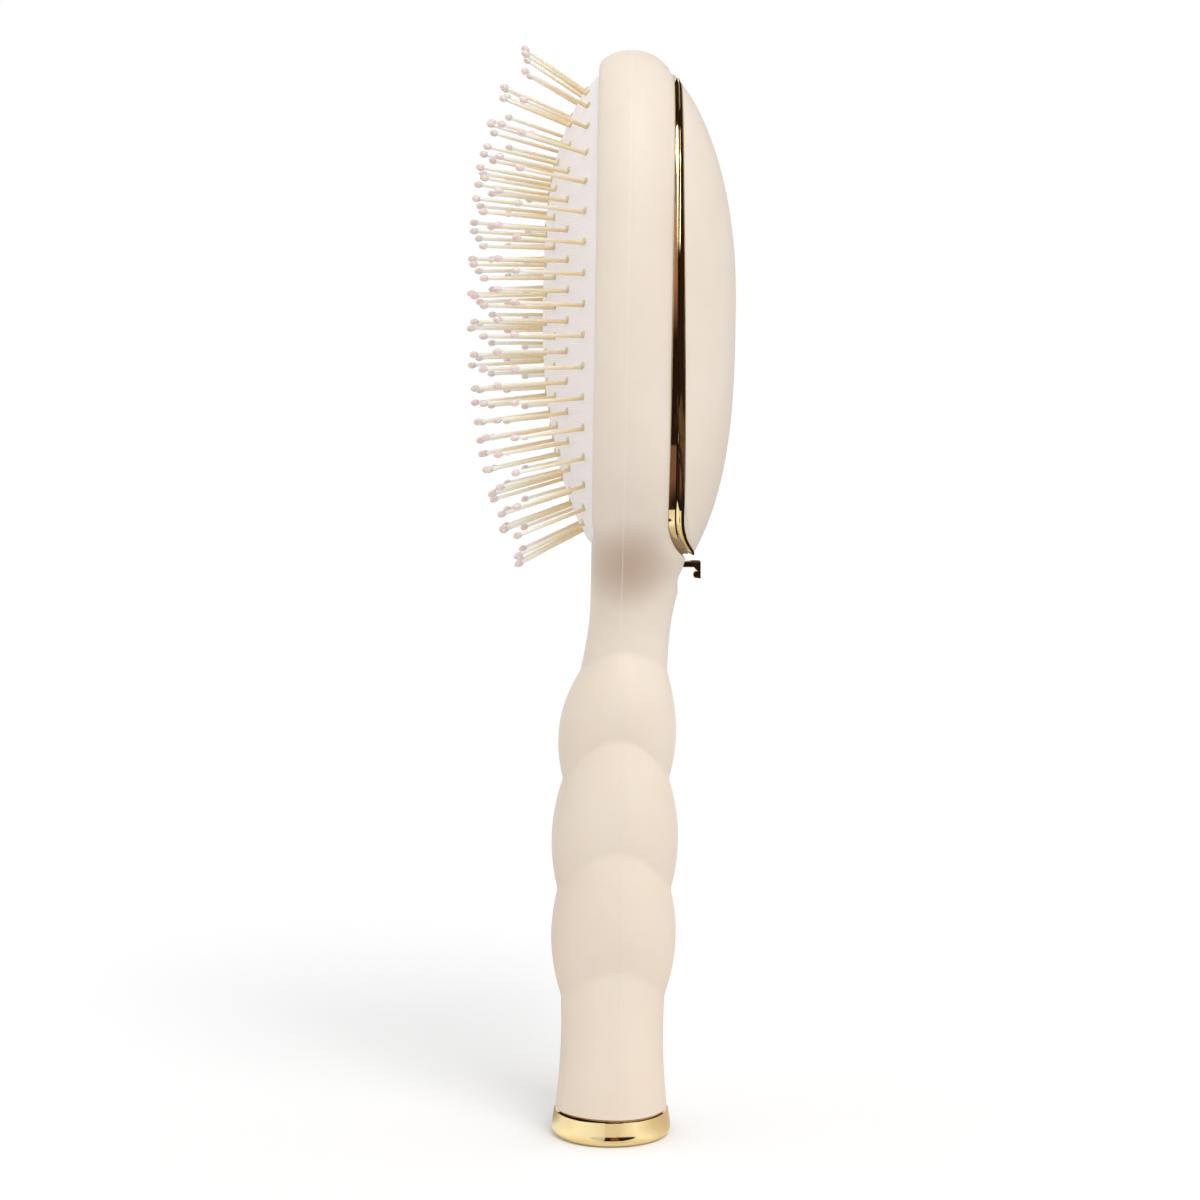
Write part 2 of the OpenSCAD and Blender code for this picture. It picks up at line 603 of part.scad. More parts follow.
// Rubber cushion: crown, neck, flange and the hollow behind the skin, from pole to pole
pad_sides = 44;
crown_shares = [0.2, 0.38, 0.54, 0.68, 0.8, 0.89, 0.955, 0.988];
inner_shares = [0.985, 0.9, 0.72, 0.48, 0.24];
module cushion() color(pink_rubber) in_head() {
    dirs = [for (i = [0:pad_sides - 1]) [full(cos(360 * i / pad_sides)), full(sin(360 * i / pad_sides))]];
    ring = function (r) [for (d = dirs)
        [-head_front - pad_crown * crown(r * d[0], r * d[1]), r * d[0] * pad_w / 2, r * d[1] * pad_len / 2]];
    flat_ring = function (grow, x) [for (d = dirs) [x, (pad_w / 2 + grow) * d[0], (pad_len / 2 + grow) * d[1]]];
    inner_ring = function (r) [for (d = dirs)
        [-head_front + pad_skin / 2 - (pad_crown - pad_skin * skin_share) * crown(r * d[0], r * d[1]),
            r * d[0] * (pad_w / 2 - pad_skin), r * d[1] * (pad_len / 2 - pad_skin)]];
    rings = concat([for (r = crown_shares) ring(r)],
        [flat_ring(0, -head_front), flat_ring(0, ledge_x + seat_gap),
            flat_ring(pad_flange, ledge_x + seat_gap), flat_ring(pad_flange, flange_x),
            flat_ring(-pad_skin, flange_x), flat_ring(-pad_skin, -head_front + pad_skin / 2)],
        [for (r = inner_shares) inner_ring(r)]);
    n = len(rings) * pad_sides;
    pts = concat([for (r = rings) each r], [[-head_front - pad_crown, 0, 0]],
        [[-head_front + pad_skin / 2 - (pad_crown - pad_skin * skin_share), 0, 0]]);
    last = (len(rings) - 1) * pad_sides;
    wrap = function (i, j) i * pad_sides + (j % pad_sides);
    sides = [for (i = [0:len(rings) - 2], j = [0:pad_sides - 1])
        each [[wrap(i, j), wrap(i, j + 1), wrap(i + 1, j + 1)],
            [wrap(i, j), wrap(i + 1, j + 1), wrap(i + 1, j)]]];
    poles = [for (j = [0:pad_sides - 1])
        each [[n, wrap(0, j + 1), wrap(0, j)], [n + 1, last + j, wrap(len(rings) - 1, j + 1)]]];
    polyhedron(pts, concat(sides, poles));
}

boss_wall = 0.7;
boss_short = 0.55;
boss_d = screw_head_d + 2 * boss_wall;
module pad_plate() color(white_resin) in_head() difference() {
    union() {
        oval_prism(pad_w / 2 + pad_flange, pad_len / 2 + pad_flange, pad_len / 2 + pad_flange,
            flange_x + seat_gap, plate_x);
        at_plate_screws() rod_x(boss_d, plate_x - over / 2, part_x(head_z) - boss_short);
    }
    at_plate_screws() rod_x(screw_d - 2 * pin_gap, flange_x - over, tray_x);
    // breathing hole of the cushion
    rod_x(screw_d, flange_x - over, tray_x);
}

// A pin along +Z from its root to its tip, foot at the origin
tip_sides = 5;
tip_from = asin(pin_d / tip_d);
module brush_pin(root) {
    rotate_extrude($fn = 24) polygon(concat(
        [[0, -root], [pin_d / 2, -root], [pin_d / 2, 0], [foot_d / 2, 0], [foot_d / 2, foot_len / 2],
            [pin_d / 2, foot_len]],
        [for (i = [1:tip_sides]) let (a = mix(tip_from, 180, i / tip_sides))
            [tip_d / 2 * sin(a), pin_len - tip_len / 2 - tip_len / 2 * cos(a)]]));
}
function turn_to(n) = [0, acos(n[2]), atan2(n[1], n[0])];

// Where each ring starts, as a share of its step, and how full its oval is
ring_step_share = 0.82;
ring_power = 2.8;
ring_fine = 240;
// How deep the strip lies under the lowest foot, as a share of the skin
strip_depth_share = 1.7;
function ring_w(k) = pad_w / 2 - ring_inset - k * ring_gap;
function ring_up(k) = pad_len / 2 - ring_inset_up - k * ring_gap * ring_step_share;
function ring_down(k) = pad_len / 2 - ring_inset_down - k * ring_gap * ring_step_share;
function ring_point(k, a) = [ring_w(k) * full(cos(a), ring_power),
    (sin(a) > 0 ? ring_up(k) : ring_down(k)) * full(sin(a), ring_power)];

// Even places round a ring, the first at its top
function ring_feet(k, n) =
    let (pts = [for (i = [0:ring_fine]) ring_point(k, 90 + 360 * i / ring_fine)],
        steps = [for (i = [0:ring_fine - 1]) norm(pts[i + 1] - pts[i])],
        total = steps * [for (d = steps) 1])
    [for (j = [0:n - 1]) place_along(pts, steps, total * j / n)];
function place_along(pts, steps, want, i = 0, sum = 0) =
    sum + steps[i] >= want ? mix(pts[i], pts[i + 1], (want - sum) / steps[i])
    : place_along(pts, steps, want, i + 1, sum + steps[i]);
module pins_on(feet, strip_x) {
    for (f = feet) {
        n = crown_normal(f[0], f[1]);
        x = -head_front - crown_at(f[0], f[1]);
        translate([x, f[0], f[1]]) rotate(turn_to(n)) brush_pin((strip_x + strip_t / 2 - x) / -n[0]);
    }
}
module pin_ring(k, n) color(nylon) in_head() {
    feet = ring_feet(k, n);
    low = min([for (f = feet) crown_at(f[0], f[1])]);
    strip_x = -head_front - low + pad_skin * strip_depth_share + strip_w / 3;
    roots = [for (f = feet) let (m = crown_normal(f[0], f[1]), x = -head_front - crown_at(f[0], f[1]),
        t = (strip_x + strip_t / 2 - x) / -m[0]) [f[0] - m[1] * t, f[1] - m[2] * t]];
    pins_on(feet, strip_x);
    translate([strip_x, 0, 0]) rotate([0, 90, 0]) linear_extrude(strip_t) difference() {
        polygon([for (r = roots) let (u = r / norm(r) * strip_w / 2) [-(r[1] + u[1]), r[0] + u[0]]]);
        polygon([for (r = roots) let (u = r / norm(r) * strip_w / 2) [-(r[1] - u[1]), r[0] - u[0]]]);
    }
}

module pins_ring_outer() pin_ring(0, outer_count);
module pins_ring_second() pin_ring(1, second_count);
module pins_ring_third() pin_ring(2, third_count);
module pins_ring_fourth() pin_ring(3, fourth_count);
module pins_row_centre() color(nylon) in_head() {
    step = ring_gap * ring_step_share;
    feet = [for (l = span(step - ring_down(3), ring_up(3) - step, centre_count - 1)) [0, l]];
    low = min([for (f = feet) crown_at(f[0], f[1])]);
    strip_x = -head_front - low + pad_skin * strip_depth_share;
    pins_on(feet, strip_x);
    low_end = step - ring_down(3) - strip_w / 2;
    translate([strip_x, -strip_w / 2, low_end])
        cube([strip_t, strip_w, ring_up(3) - step + strip_w / 2 - low_end]);
}

module plate_screws() color(steel) in_head() at_plate_screws() difference() {
    union() {
        rod_x(screw_d - 4 * pin_gap, flange_x + seat_gap + over / 2, tray_x - screw_head_h / 2 - seat_gap);
        rod_x(screw_head_d, tray_x - screw_head_h, tray_x - seat_gap);
    }
    for (a = [0, 90]) rotate([a, 0, 0])
        box_at(tray_x - screw_head_h / 2, tray_x, screw_head_d / 6, -screw_head_d / 3, screw_head_d / 3);
}

module compartment_tray() color(cream) in_head() difference() {
    union() {
        oval_prism(tray_w / 2, tray_up, tray_down, tray_x, head_seat - tray_flange_t / 2);
        oval_prism(tray_w / 2 + tray_flange, tray_up + tray_flange, tray_down + tray_flange,
            head_seat - tray_flange_t, head_seat);
    }
    oval_prism(tray_w / 2 - tray_wall, tray_up - tray_wall, tray_down - tray_wall,
        tray_x + tray_floor, head_seat + over);
}

module seat_trim() color(gold) in_head() difference() {
    intersection() {
        difference() {
            lid_prism(0, 0, far_x);
            lid_prism(trim_w, -over, far_x + over);
        }
        seat_slab([for (l = seat_ls) [seat_x(l) + seat_gap / 2, l]],
            [for (l = seat_ls) [seat_x(l) + trim_t(l), l]]);
    }
    // gap for the hinge and for the edge that turns down beside it
    box_at(0, far_x + over, bracket_w + 4 * side_gap, hinge_up - 2 * barrel_d, lid_up + over);
    box_at(0, far_x + over, swing_w, hinge_up - hinge_pin_d, lid_up + over);
}

module hinge_bracket() color(steel) in_head() difference() {
    union() {
        box_at(bracket_x0, bracket_x0 + bracket_base, bracket_w, bracket_l0, hinge_up - barrel_d / 2);
        for (m = [-1, 1]) translate([0, m * (knuckle_w / 2 + side_gap + ear_w / 2), 0]) {
            rod_y(barrel_d, ear_w, hinge_x, hinge_up);
            side_plate([[bracket_x0, bracket_l0 + bracket_toe], [bracket_x0, hinge_up - barrel_d / 4],
                [hinge_x - barrel_d / 3, hinge_up + barrel_d / 4], [hinge_x, hinge_up],
                [hinge_x + barrel_d / 3, hinge_up - barrel_d / 4],
                [head_seat - side_gap, bracket_l0 + bracket_toe]], ear_w);
        }
    }
    rod_y(hinge_pin_d + pin_gap, bracket_w + over, hinge_x, hinge_up);
}

module hinge_pin() color(steel) in_head() rod_y(hinge_pin_d, bracket_w, hinge_x, hinge_up);

// Metal cup under the handle
module base_cap() color(gold) difference() {
    rotate_extrude($fn = 96) polygon(concat([[0, 0]],
        [for (a = [0:15:90]) [cap_d / 2 - cap_edge * (1 - sin(a)), cap_edge * (1 - cos(a))]],
        [[cap_top_d / 2, cap_h - seat_gap], [0, cap_h - seat_gap]]));
    translate([0, 0, cap_wall]) cylinder(d = cap_top_d - 2 * cap_wall, h = cap_h, $fn = 96);
}

module end_plug() color(white_resin) difference() {
    union() {
        translate([0, 0, cap_wall + seat_gap])
            cylinder(d = cap_top_d - 2 * cap_wall - 2 * seat_gap,
                h = cap_h - cap_wall - 2 * seat_gap, $fn = 96);
        translate([0, 0, cap_h - over]) cylinder(d = plug_d, h = plug_len + over, $fn = 64);
    }
    translate([0, 0, cap_wall + 2 * over])
        cylinder(d = plug_d - 2 * handle_wall, h = cap_h + plug_len, $fn = 48);
}

// Return spring behind the slider, drawn at its pressed length, one unbroken wire
spring_d = 3;
spring_wire = 0.4;
spring_turns = 4;
spring_len = slider_x0 - tab_travel - pocket_x0 - seat_gap;
spring_z = (slot_z0 + slot_z1) / 2;
module release_spring() color(steel) {
    rings = 10 * spring_turns;
    sides = 6;
    rise = spring_len - spring_wire;
    pts = [for (i = [0:rings], j = [0:sides - 1])
        let (a = 360 * spring_turns * i / rings, b = 360 * j / sides,
            r = spring_d / 2 + spring_wire / 2 * cos(b), x = spring_wire / 2 * (1 + sin(b)) + rise * i / rings)
        [pocket_x0 + x, r * cos(a), spring_z + r * sin(a)]];
    faces = [for (i = [0:rings - 1], j = [0:sides - 1])
        let (a = i * sides + j, b = i * sides + (j + 1) % sides, c = a + sides, d = b + sides)
        each [[a, d, b], [a, c, d]]];
    ends = concat([for (j = [1:sides - 2]) [0, j, j + 1]],
        [for (j = [1:sides - 2]) [rings * sides, rings * sides + j + 1, rings * sides + j]]);
    polyhedron(pts, concat(faces, ends));
}

// Outer form of the lid: its plan outline under the dome, with a share of the size kept for inner forms
lid_sides = 56;
dome_shares = [0.994, 0.98, 0.955, 0.92, 0.87, 0.8, 0.71, 0.6, 0.46, 0.3, 0.14];
dome_side_power = 2.4;
dome_up_power = 2.2;
dome_down_power = 3;
dome_round = 0.76;
function dome_x(y, l, inset) =
    let (u = y / (lid_w / 2 - inset), v = l / ((l > 0 ? lid_up : dome_down) - inset), r = norm([u, v]),
        p = r == 0 ? 1 : mix(dome_side_power, l > 0 ? dome_up_power : dome_down_power, pow(v / r, 2)))
    head_seat + (dome_h - inset) * pow(max(0, 1 - pow(oval_norm(u, v), p)), dome_round);
module lid_form(inset, x0) {
    edge = [for (i = [0:lid_sides - 1]) let (a = 360 * i / lid_sides)
        [(lid_w / 2 - inset) * full(cos(a)), ((sin(a) > 0 ? lid_up : lid_down) - inset) * full(sin(a))]];
    pts = concat([for (e = edge) [x0, e[0], e[1]]],
        [for (e = edge) [dome_x(e[0], e[1], inset) + over / 100, e[0], e[1]]],
        [for (s = dome_shares, e = edge) [dome_x(s * e[0], s * e[1], inset), s * e[0], s * e[1]]],
        [[dome_x(0, 0, inset), 0, 0], [x0, 0, 0]]);
    rings = len(dome_shares) + 2;
    n = rings * lid_sides;
    wrap = function (i, j) i * lid_sides + (j % lid_sides);
    sides = [for (i = [0:rings - 2], j = [0:lid_sides - 1])
        each [[wrap(i, j), wrap(i + 1, j + 1), wrap(i, j + 1)],
            [wrap(i, j), wrap(i + 1, j), wrap(i + 1, j + 1)]]];
    poles = [for (j = [0:lid_sides - 1]) each [[n, wrap(rings - 1, j + 1), wrap(rings - 1, j)],
        [n + 1, wrap(0, j), wrap(0, j + 1)]]];
    polyhedron(pts, concat(sides, poles));
}

// Bosses under the dome for the frame's screws
lid_len = lid_up + lid_down;
lid_screw_l = lid_len * lid_screw_shares[1];
lid_screw_len = 3;
lid_boss_wall = 1;
// The lid's screws have smaller heads, sunk a share of their height into the frame
lid_head_share = 0.8;
sink_share = 0.3;
lid_boss_d = screw_d + 2 * lid_boss_wall;
frame_boss_d = lid_boss_d + 2 * seat_gap + lid_boss_wall;
arm_t = 0.7;
module at_lid_screws() {
    at_corners(lid_w, lid_len, lid_screw_shares) children();
}

module lid_shell() color(cream) in_head() difference() {
    intersection() {
        lid_form(0, 0);
        seat_slab([for (l = seat_ls) [border_x(l), l]],
            [[far_x, seat_ls[0]], [far_x, -sweep_start - sweep_len]]);
    }
    difference() {
        lid_form(lid_wall, 0);
        at_lid_screws() difference() {
            rod_x(lid_boss_d, 0, far_x);
            rod_x(screw_d - 2 * pin_gap, -over, frame_top + lid_screw_len);
        }
    }
    at_lid_screws() rod_x(lid_boss_d + over, 0, frame_top + seat_gap);
}

frame_top = bezel_x(-lid_screw_l) + frame_t;
module lid_bezel() color(gold) in_head() difference() {
    intersection() {
        lid_form(0, 0);
        seat_slab([for (l = seat_ls) [bezel_x(l), l]], [for (l = seat_ls) [border_x(l) - seat_gap / 2, l]]);
    }
    lid_prism(bezel_w, -over, far_x);
    // notch for the knuckle's arm
    box_at(0, far_x, knuckle_w + 2 * side_gap, lid_up - bezel_w - over, lid_up + over);
}

module lid_frame() color(cream) in_head() {
    difference() {
        union() {
            intersection() {
                lid_prism(bezel_w + seat_gap, 0, far_x);
                seat_slab([for (l = seat_ls) [bezel_x(l), l]], [for (l = seat_ls) [bezel_x(l) + frame_t, l]]);
            }
            at_lid_screws() rod_x(frame_boss_d, bezel_x(lid_screw_l), frame_top);
        }
        difference() {
            lid_prism(bezel_w + frame_w, -over, far_x);
            at_lid_screws() rod_x(frame_boss_d, 0, far_x);
        }
        at_lid_screws() {
            rod_x(screw_d, 0, far_x);
            rod_x(screw_head_d * lid_head_share, 0, bezel_x(lid_screw_l) + screw_head_h * sink_share);
        }
    }
    // knuckle on its arm
    difference() {
        union() {
            box_at(bezel_x(lid_up), bezel_x(lid_up) + arm_t, knuckle_w,
                lid_up - bezel_w - over, hinge_up + barrel_d / 4);
            rod_y(barrel_d, knuckle_w, hinge_x, hinge_up);
            side_plate([[hinge_x, hinge_up - barrel_d / 2], [hinge_x, hinge_up + barrel_d / 2],
                [bezel_x(lid_up) + arm_t, hinge_up + barrel_d / 4],
                [bezel_x(lid_up) + arm_t, hinge_up - barrel_d]],
                knuckle_w);
        }
        rod_y(hinge_pin_d + 2 * pin_gap, knuckle_w + over, hinge_x, hinge_up);
    }
    // catch that enters the slot
    box_at(catch_x0, bezel_x(catch_l0) + frame_t / 2, catch_w, catch_l1, catch_l0);
}

module lid_screws() color(steel) in_head() at_lid_screws() {
    rod_x(screw_d - 4 * pin_gap, bezel_x(lid_screw_l) + screw_head_h * sink_share / 3,
        frame_top + lid_screw_len - side_gap);
    rod_x(screw_head_d * lid_head_share - 2 * pin_gap, bezel_x(lid_screw_l) - seat_gap / 2,
        bezel_x(lid_screw_l) + screw_head_h * sink_share - seat_gap / 2);
}

// Gold tab: bar, leg and the bead at the leg's end
bead_share = 1.3;
module release_tab() color(gold) {
    bead = tab_t * bead_share;
    box_at(slider_x1 - slider_t / 2, tab_x, tab_w, tab_z - tab_t, tab_z);
    box_at(tab_x - tab_leg_t, tab_x, tab_w, tab_z - tab_leg + bead / 2, tab_z);
    rod_y(bead, tab_w, tab_x - tab_leg_t + bead / 2 - tab_t / 10, tab_z - tab_leg + bead / 2);
    box_at(tab_x - tab_leg_t / 2, tab_x, tab_w, tab_z - tab_leg, tab_z - tab_t / 2);
}

module release_slider() color(white_resin) difference() {
    box_at(slider_x0, slider_x1, pocket_w - 2 * side_gap, pocket_z0 + side_gap, pocket_z1 - side_gap);
    box_at(slider_x1 - slider_t / 2 - seat_gap, slider_x1 + over, tab_w + 2 * seat_gap,
        tab_z - tab_t - seat_gap, tab_z + seat_gap);
}

front_shell();
back_shell();
cushion();
pad_plate();
pins_ring_outer();
pins_ring_second();
pins_ring_third();
pins_ring_fourth();
pins_row_centre();
plate_screws();
compartment_tray();
seat_trim();
hinge_bracket();
hinge_pin();
base_cap();
end_plug();
release_spring();
lid_shell();
lid_bezel();
lid_frame();
lid_screws();
release_tab();
release_slider();
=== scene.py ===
import json
import math
import bpy
import numpy as np
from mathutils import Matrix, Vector


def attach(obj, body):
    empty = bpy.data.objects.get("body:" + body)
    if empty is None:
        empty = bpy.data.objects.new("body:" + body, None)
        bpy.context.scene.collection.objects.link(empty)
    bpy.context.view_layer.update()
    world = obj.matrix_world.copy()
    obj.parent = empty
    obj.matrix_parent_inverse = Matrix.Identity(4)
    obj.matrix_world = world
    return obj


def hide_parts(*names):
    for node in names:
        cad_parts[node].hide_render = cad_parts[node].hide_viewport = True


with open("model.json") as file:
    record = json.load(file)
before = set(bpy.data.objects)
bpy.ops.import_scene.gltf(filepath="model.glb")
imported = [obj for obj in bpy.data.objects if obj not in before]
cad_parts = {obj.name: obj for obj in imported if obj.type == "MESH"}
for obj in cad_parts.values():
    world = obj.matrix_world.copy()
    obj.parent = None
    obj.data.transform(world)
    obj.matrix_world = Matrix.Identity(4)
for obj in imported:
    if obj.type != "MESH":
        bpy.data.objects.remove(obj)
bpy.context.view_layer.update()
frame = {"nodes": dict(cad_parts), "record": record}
mm = 0.001


# Camera
# A level camera keeps the handle's uprights straight, as in the photograph.
camera = {"x": -2.49, "y": -560.0, "z": 158.9, "lens": 74.18, "shiftY": -0.1415}


def makeCamera(spec):
    data = bpy.data.cameras.new("camera")
    data.lens = spec["lens"]
    data.sensor_width = 36
    data.shift_y = spec["shiftY"]
    data.clip_start = 0.01
    data.clip_end = 50
    cam = bpy.data.objects.new("camera", data)
    bpy.context.collection.objects.link(cam)
    cam.location = (spec["x"] * mm, spec["y"] * mm, spec["z"] * mm)
    cam.rotation_euler = (math.pi / 2, 0, 0)
    bpy.context.scene.camera = cam


makeCamera(camera)
bpy.context.scene.view_settings.view_transform = "Standard"
print("camera made")


# The body's form, in mm
dims = {
    "height": 244.2, "headLen": 116.6, "headW": 80, "front": 3.55, "seat": 13, "lean": 0.95,
    "rimR": 4, "rimRise": 1, "shoulderR": 9.8, "shoulderOver": 0.8, "lipR": 5.6,
    "partLow": 1.2, "partNeck": 2.2, "partTop": 4.6,
    "neckShare": 0.909, "neckW": 22, "neckBlend": 15, "lipOver": 2.9, "lipRise": 4.5, "sweepLen": 11,
    "capH": 6.2, "capTopD": 25.2, "tailD": 23.3, "neckShift": 2.9, "leanShare": 0.48, "bendPower": 12,
    "sweepPower": 2.8, "roundShare": 1.04, "ovalPower": 2.5,
}
headZ = dims["height"] - dims["headLen"] / 2
halfLen = dims["headLen"] / 2
halfW = dims["headW"] / 2
lean = math.radians(dims["lean"])
slope = math.tan(lean)
headLow = headZ - halfLen
neckZ = headLow * dims["neckShare"]
lipZ = headLow + dims["lipOver"]
sweepStart = headZ - lipZ - dims["sweepLen"]
# Seams up the handle: height as a share of the height under the head, depth, arch, swell of the bubble above
seams = [(0.246, 23.5, 7.1, 1.8), (0.432, 25.6, 9.9, 1.9), (0.628, 24.0, 9.8, 2.3), (0.819, 19.6, 4.8, 0)]
seams = [(headLow * seam[0],) + seam[1:] for seam in seams]
seamHigh = seams[-1][0]
neckFront = [(0, 1), (0.16, 0.64), (0.4, 0.2), (0.56, 0.1), (1, 0)]
neckBack = [(0, 0), (0.18, 0.06), (0.46, 0.26), (0.63, 0.49), (0.69, 0.59), (0.78, 0.565), (0.84, 0.66),
            (0.9, 0.83), (1, 1)]


def mix(a, b, t):
    return a + (b - a) * t


def ease(t):
    u = np.clip(t, 0, 1)
    return u * u * (3 - 2 * u)


def curveThrough(points, x):
    # Monotone cubic through given points
    px, py = np.array(points, float).T
    step = np.diff(px)
    rise = np.diff(py) / step
    m = np.concatenate([[rise[0]], (rise[:-1] + rise[1:]) / 2, [rise[-1]]])
    for i, r in enumerate(rise):
        if r == 0:
            m[i] = m[i + 1] = 0
        else:
            a, b = m[i] / r, m[i + 1] / r
            if a < 0:
                m[i] = 0
            if b < 0:
                m[i + 1] = 0
            size = math.hypot(a, b)
            if size > 3:
                m[i] *= 3 / size
                m[i + 1] *= 3 / size
    x = np.clip(x, px[0], px[-1])
    k = np.clip(np.searchsorted(px, x) - 1, 0, len(px) - 2)
    t = (x - px[k]) / step[k]
    return ((2 * t ** 3 - 3 * t ** 2 + 1) * py[k] + (t ** 3 - 2 * t ** 2 + t) * step[k] * m[k]
            + (3 * t ** 2 - 2 * t ** 3) * py[k + 1] + (t ** 3 - t ** 2) * step[k] * m[k + 1])


def partX(z):
    return np.where(z < neckZ, mix(dims["partLow"], dims["partNeck"], z / neckZ),
                    mix(dims["partNeck"], dims["partTop"], (z - neckZ) / (dims["height"] - neckZ)))


def seatX(l):
    past = np.maximum(0, (-l - sweepStart) / dims["sweepLen"])
    return dims["seat"] + dims["lipRise"] * past ** dims["sweepPower"]


def shiftAt(z):
    u = np.maximum(0, z - dims["capH"]) / (seamHigh - dims["capH"])
    return dims["neckShift"] * mix(u ** dims["bendPower"], u, dims["leanShare"])


def rawDepth(z):
    u = (z - dims["capH"]) / (seams[0][0] - dims["capH"])
    out = mix(dims["capTopD"], seams[0][1], u) - (dims["capTopD"] + seams[0][1] - 2 * dims["tailD"]) * 2 * u * (1 - u)
    for low, high in zip(seams[:-1], seams[1:]):
        u = (z - low[0]) / (high[0] - low[0])
        bubble = mix(low[1], high[1], u) + 8 * low[3] * u * (1 - u)
        out = np.where(z >= low[0], bubble, out)
    return out


def handleDepth(z):
    # Averaged over a short span, which rounds the creases a little
    spans = np.linspace(-0.45, 0.45, 7)
    return sum(rawDepth(np.clip(z + s, dims["capH"], seamHigh)) for s in spans) / len(spans)


def archAt(z):
    heights = [dims["capH"]] + [s[0] for s in seams]
    arches = [0] + [s[2] for s in seams]
    top = seamHigh
    fade = seams[-1][2] * (1 - ease((z - top) / (neckZ + seams[-1][2] - top)))
    return np.where(z < top, np.interp(z, heights, arches), fade)


def frontX(z):
    low = shiftAt(seamHigh) - seams[-1][1] / 2
    rimZ = headLow + dims["rimR"] + dims["rimRise"]
    high = slope * (rimZ - headZ) - dims["front"]
    neck = mix(high, low, curveThrough(neckFront, (z - seamHigh) / (rimZ - seamHigh)))
    return np.where(z < seamHigh, shiftAt(z) - handleDepth(z) / 2,
                    np.where(z < rimZ, neck, slope * (z - headZ) - dims["front"]))


def backX(z):
    low = shiftAt(seamHigh) + seams[-1][1] / 2
    lip = lipZ
    high = seatX(lip - headZ) + slope * (lip - headZ)
    neck = mix(low, high, curveThrough(neckBack, (z - seamHigh) / (lip - seamHigh)))
    head = seatX(z - headZ) + slope * (z - headZ) + dims["shoulderOver"]
    return np.where(z < seamHigh, shiftAt(z) + handleDepth(z) / 2, np.where(z <= lip, neck, head))


def ovalNorm(u, v, power=dims["ovalPower"]):
    return (np.abs(u) ** power + np.abs(v) ** power) ** (1 / power)


def full(v, power=dims["ovalPower"]):
    # A sine or cosine stretched onto the full oval
    return np.sign(v) * np.abs(v) ** (2 / power)


def ovalIn(y, l):
    k = dims["ovalPower"] - 1
    u, v = np.abs(y) / halfW, np.abs(l) / halfLen
    r = ovalNorm(u, v)
    g = np.hypot(u ** k / halfW, v ** k / halfLen)
    return np.where(g > 1e-9, (1 - r) * r ** k / np.maximum(g, 1e-9), halfW)


def stripHalf(z):
    low = handleDepth(z) * dims["roundShare"] / 2
    neck = mix(seams[-1][1] * dims["roundShare"], dims["neckW"], (z - seamHigh) / (neckZ - seamHigh)) / 2
    head = dims["neckW"] / 2 - np.maximum(0, z - headLow - dims["neckW"]) * 2
    return np.where(z < seamHigh, low, np.where(z < neckZ, neck, head))


def outlineIn(y, z):
    a, b, k = ovalIn(y, z - headZ), stripHalf(z) - y, dims["neckBlend"]
    return np.maximum(a, b) + np.maximum(0, k - np.abs(a - b)) ** 2 / (4 * k)


def halfAt(z):
    lo, hi = np.zeros_like(z), np.full_like(z, dims["headW"])
    for _ in range(40):
        m = (lo + hi) / 2
        inside = outlineIn(m, z) > 0
        lo, hi = np.where(inside, m, lo), np.where(inside, hi, m)
    return np.where(z < seamHigh, stripHalf(z), lo)


def edgeWidth(z, b, side):
    low = neckZ - dims["neckW"] / 4
    if side < 0:
        return mix(b, dims["rimR"], ease((z - low) / (headLow + dims["neckW"] - low)))
    back = mix(dims["lipR"], dims["shoulderR"], ease((z - lipZ) / (headLow + 2 * dims["neckW"] - lipZ)))
    return mix(b, back, ease((z - low) / (lipZ - low)))


def bodyPoints(z, t, side, inset=0.0):
    # Grid of points: z runs up the rows and t from -1 to 1 across.
    z, t = np.meshgrid(z, t, indexing="ij")
    b = halfAt(z)
    w = edgeWidth(z, b, side)
    e = np.minimum(w, b)
    k = 0.5 + 0.5 * e / b
    a = np.abs(t)
    y = np.where(a < 1 - k, (b - e) * a / np.maximum(1 - k, 1e-9),
                 b - e + e * np.sin(np.pi / 2 * np.clip((a - 1 + k) / k, 0, 1)))
    zz = z + archAt(z) * (y / b) ** 2
    s = np.where(z < seamHigh, b - y, outlineIn(y, z))
    reach = np.sqrt(np.maximum(0, 1 - (1 - np.clip(s / w, 0, 1)) ** 2))
    xe = partX(zz)
    deep = np.where(side < 0, xe - frontX(z), backX(z) - xe)
    return np.stack([xe + side * (deep - inset) * reach, np.sign(t) * y * (b - inset) / b, zz], -1)


def inHead(p):
    p = np.asarray(p, float)
    x, y, l = p[..., 0], p[..., 1], p[..., 2]
    return np.stack([x * math.cos(lean) + l * math.sin(lean), y, headZ - x * math.sin(lean) + l * math.cos(lean)], -1)


# Mesh helpers
def around(n):
    return np.linspace(0, 2 * np.pi, n, endpoint=False)


def turned(profile, n):
    # Rings about the handle's axis through (radius, height) pairs
    a = around(n)
    return [np.stack([r * np.cos(a), r * np.sin(a), np.full(n, z)], -1) for r, z in profile]


def meshPiece(name, verts, faces):
    data = bpy.data.meshes.new(name)
    data.from_pydata([tuple(v) for v in np.asarray(verts) * mm], [], [tuple(map(int, f)) for f in faces])
    data.validate()
    obj = bpy.data.objects.new(name, data)
    bpy.context.collection.objects.link(obj)
    return obj


def gridFaces(rows, cols, wrap=False, first=0):
    out = []
    for i in range(rows - 1):
        for j in range(cols if wrap else cols - 1):
            a, b = first + i * cols + j, first + i * cols + (j + 1) % cols
            out.append((a, b, b + cols, a + cols))
    return out


def turn(faces):
    return [tuple(reversed(f)) for f in faces]


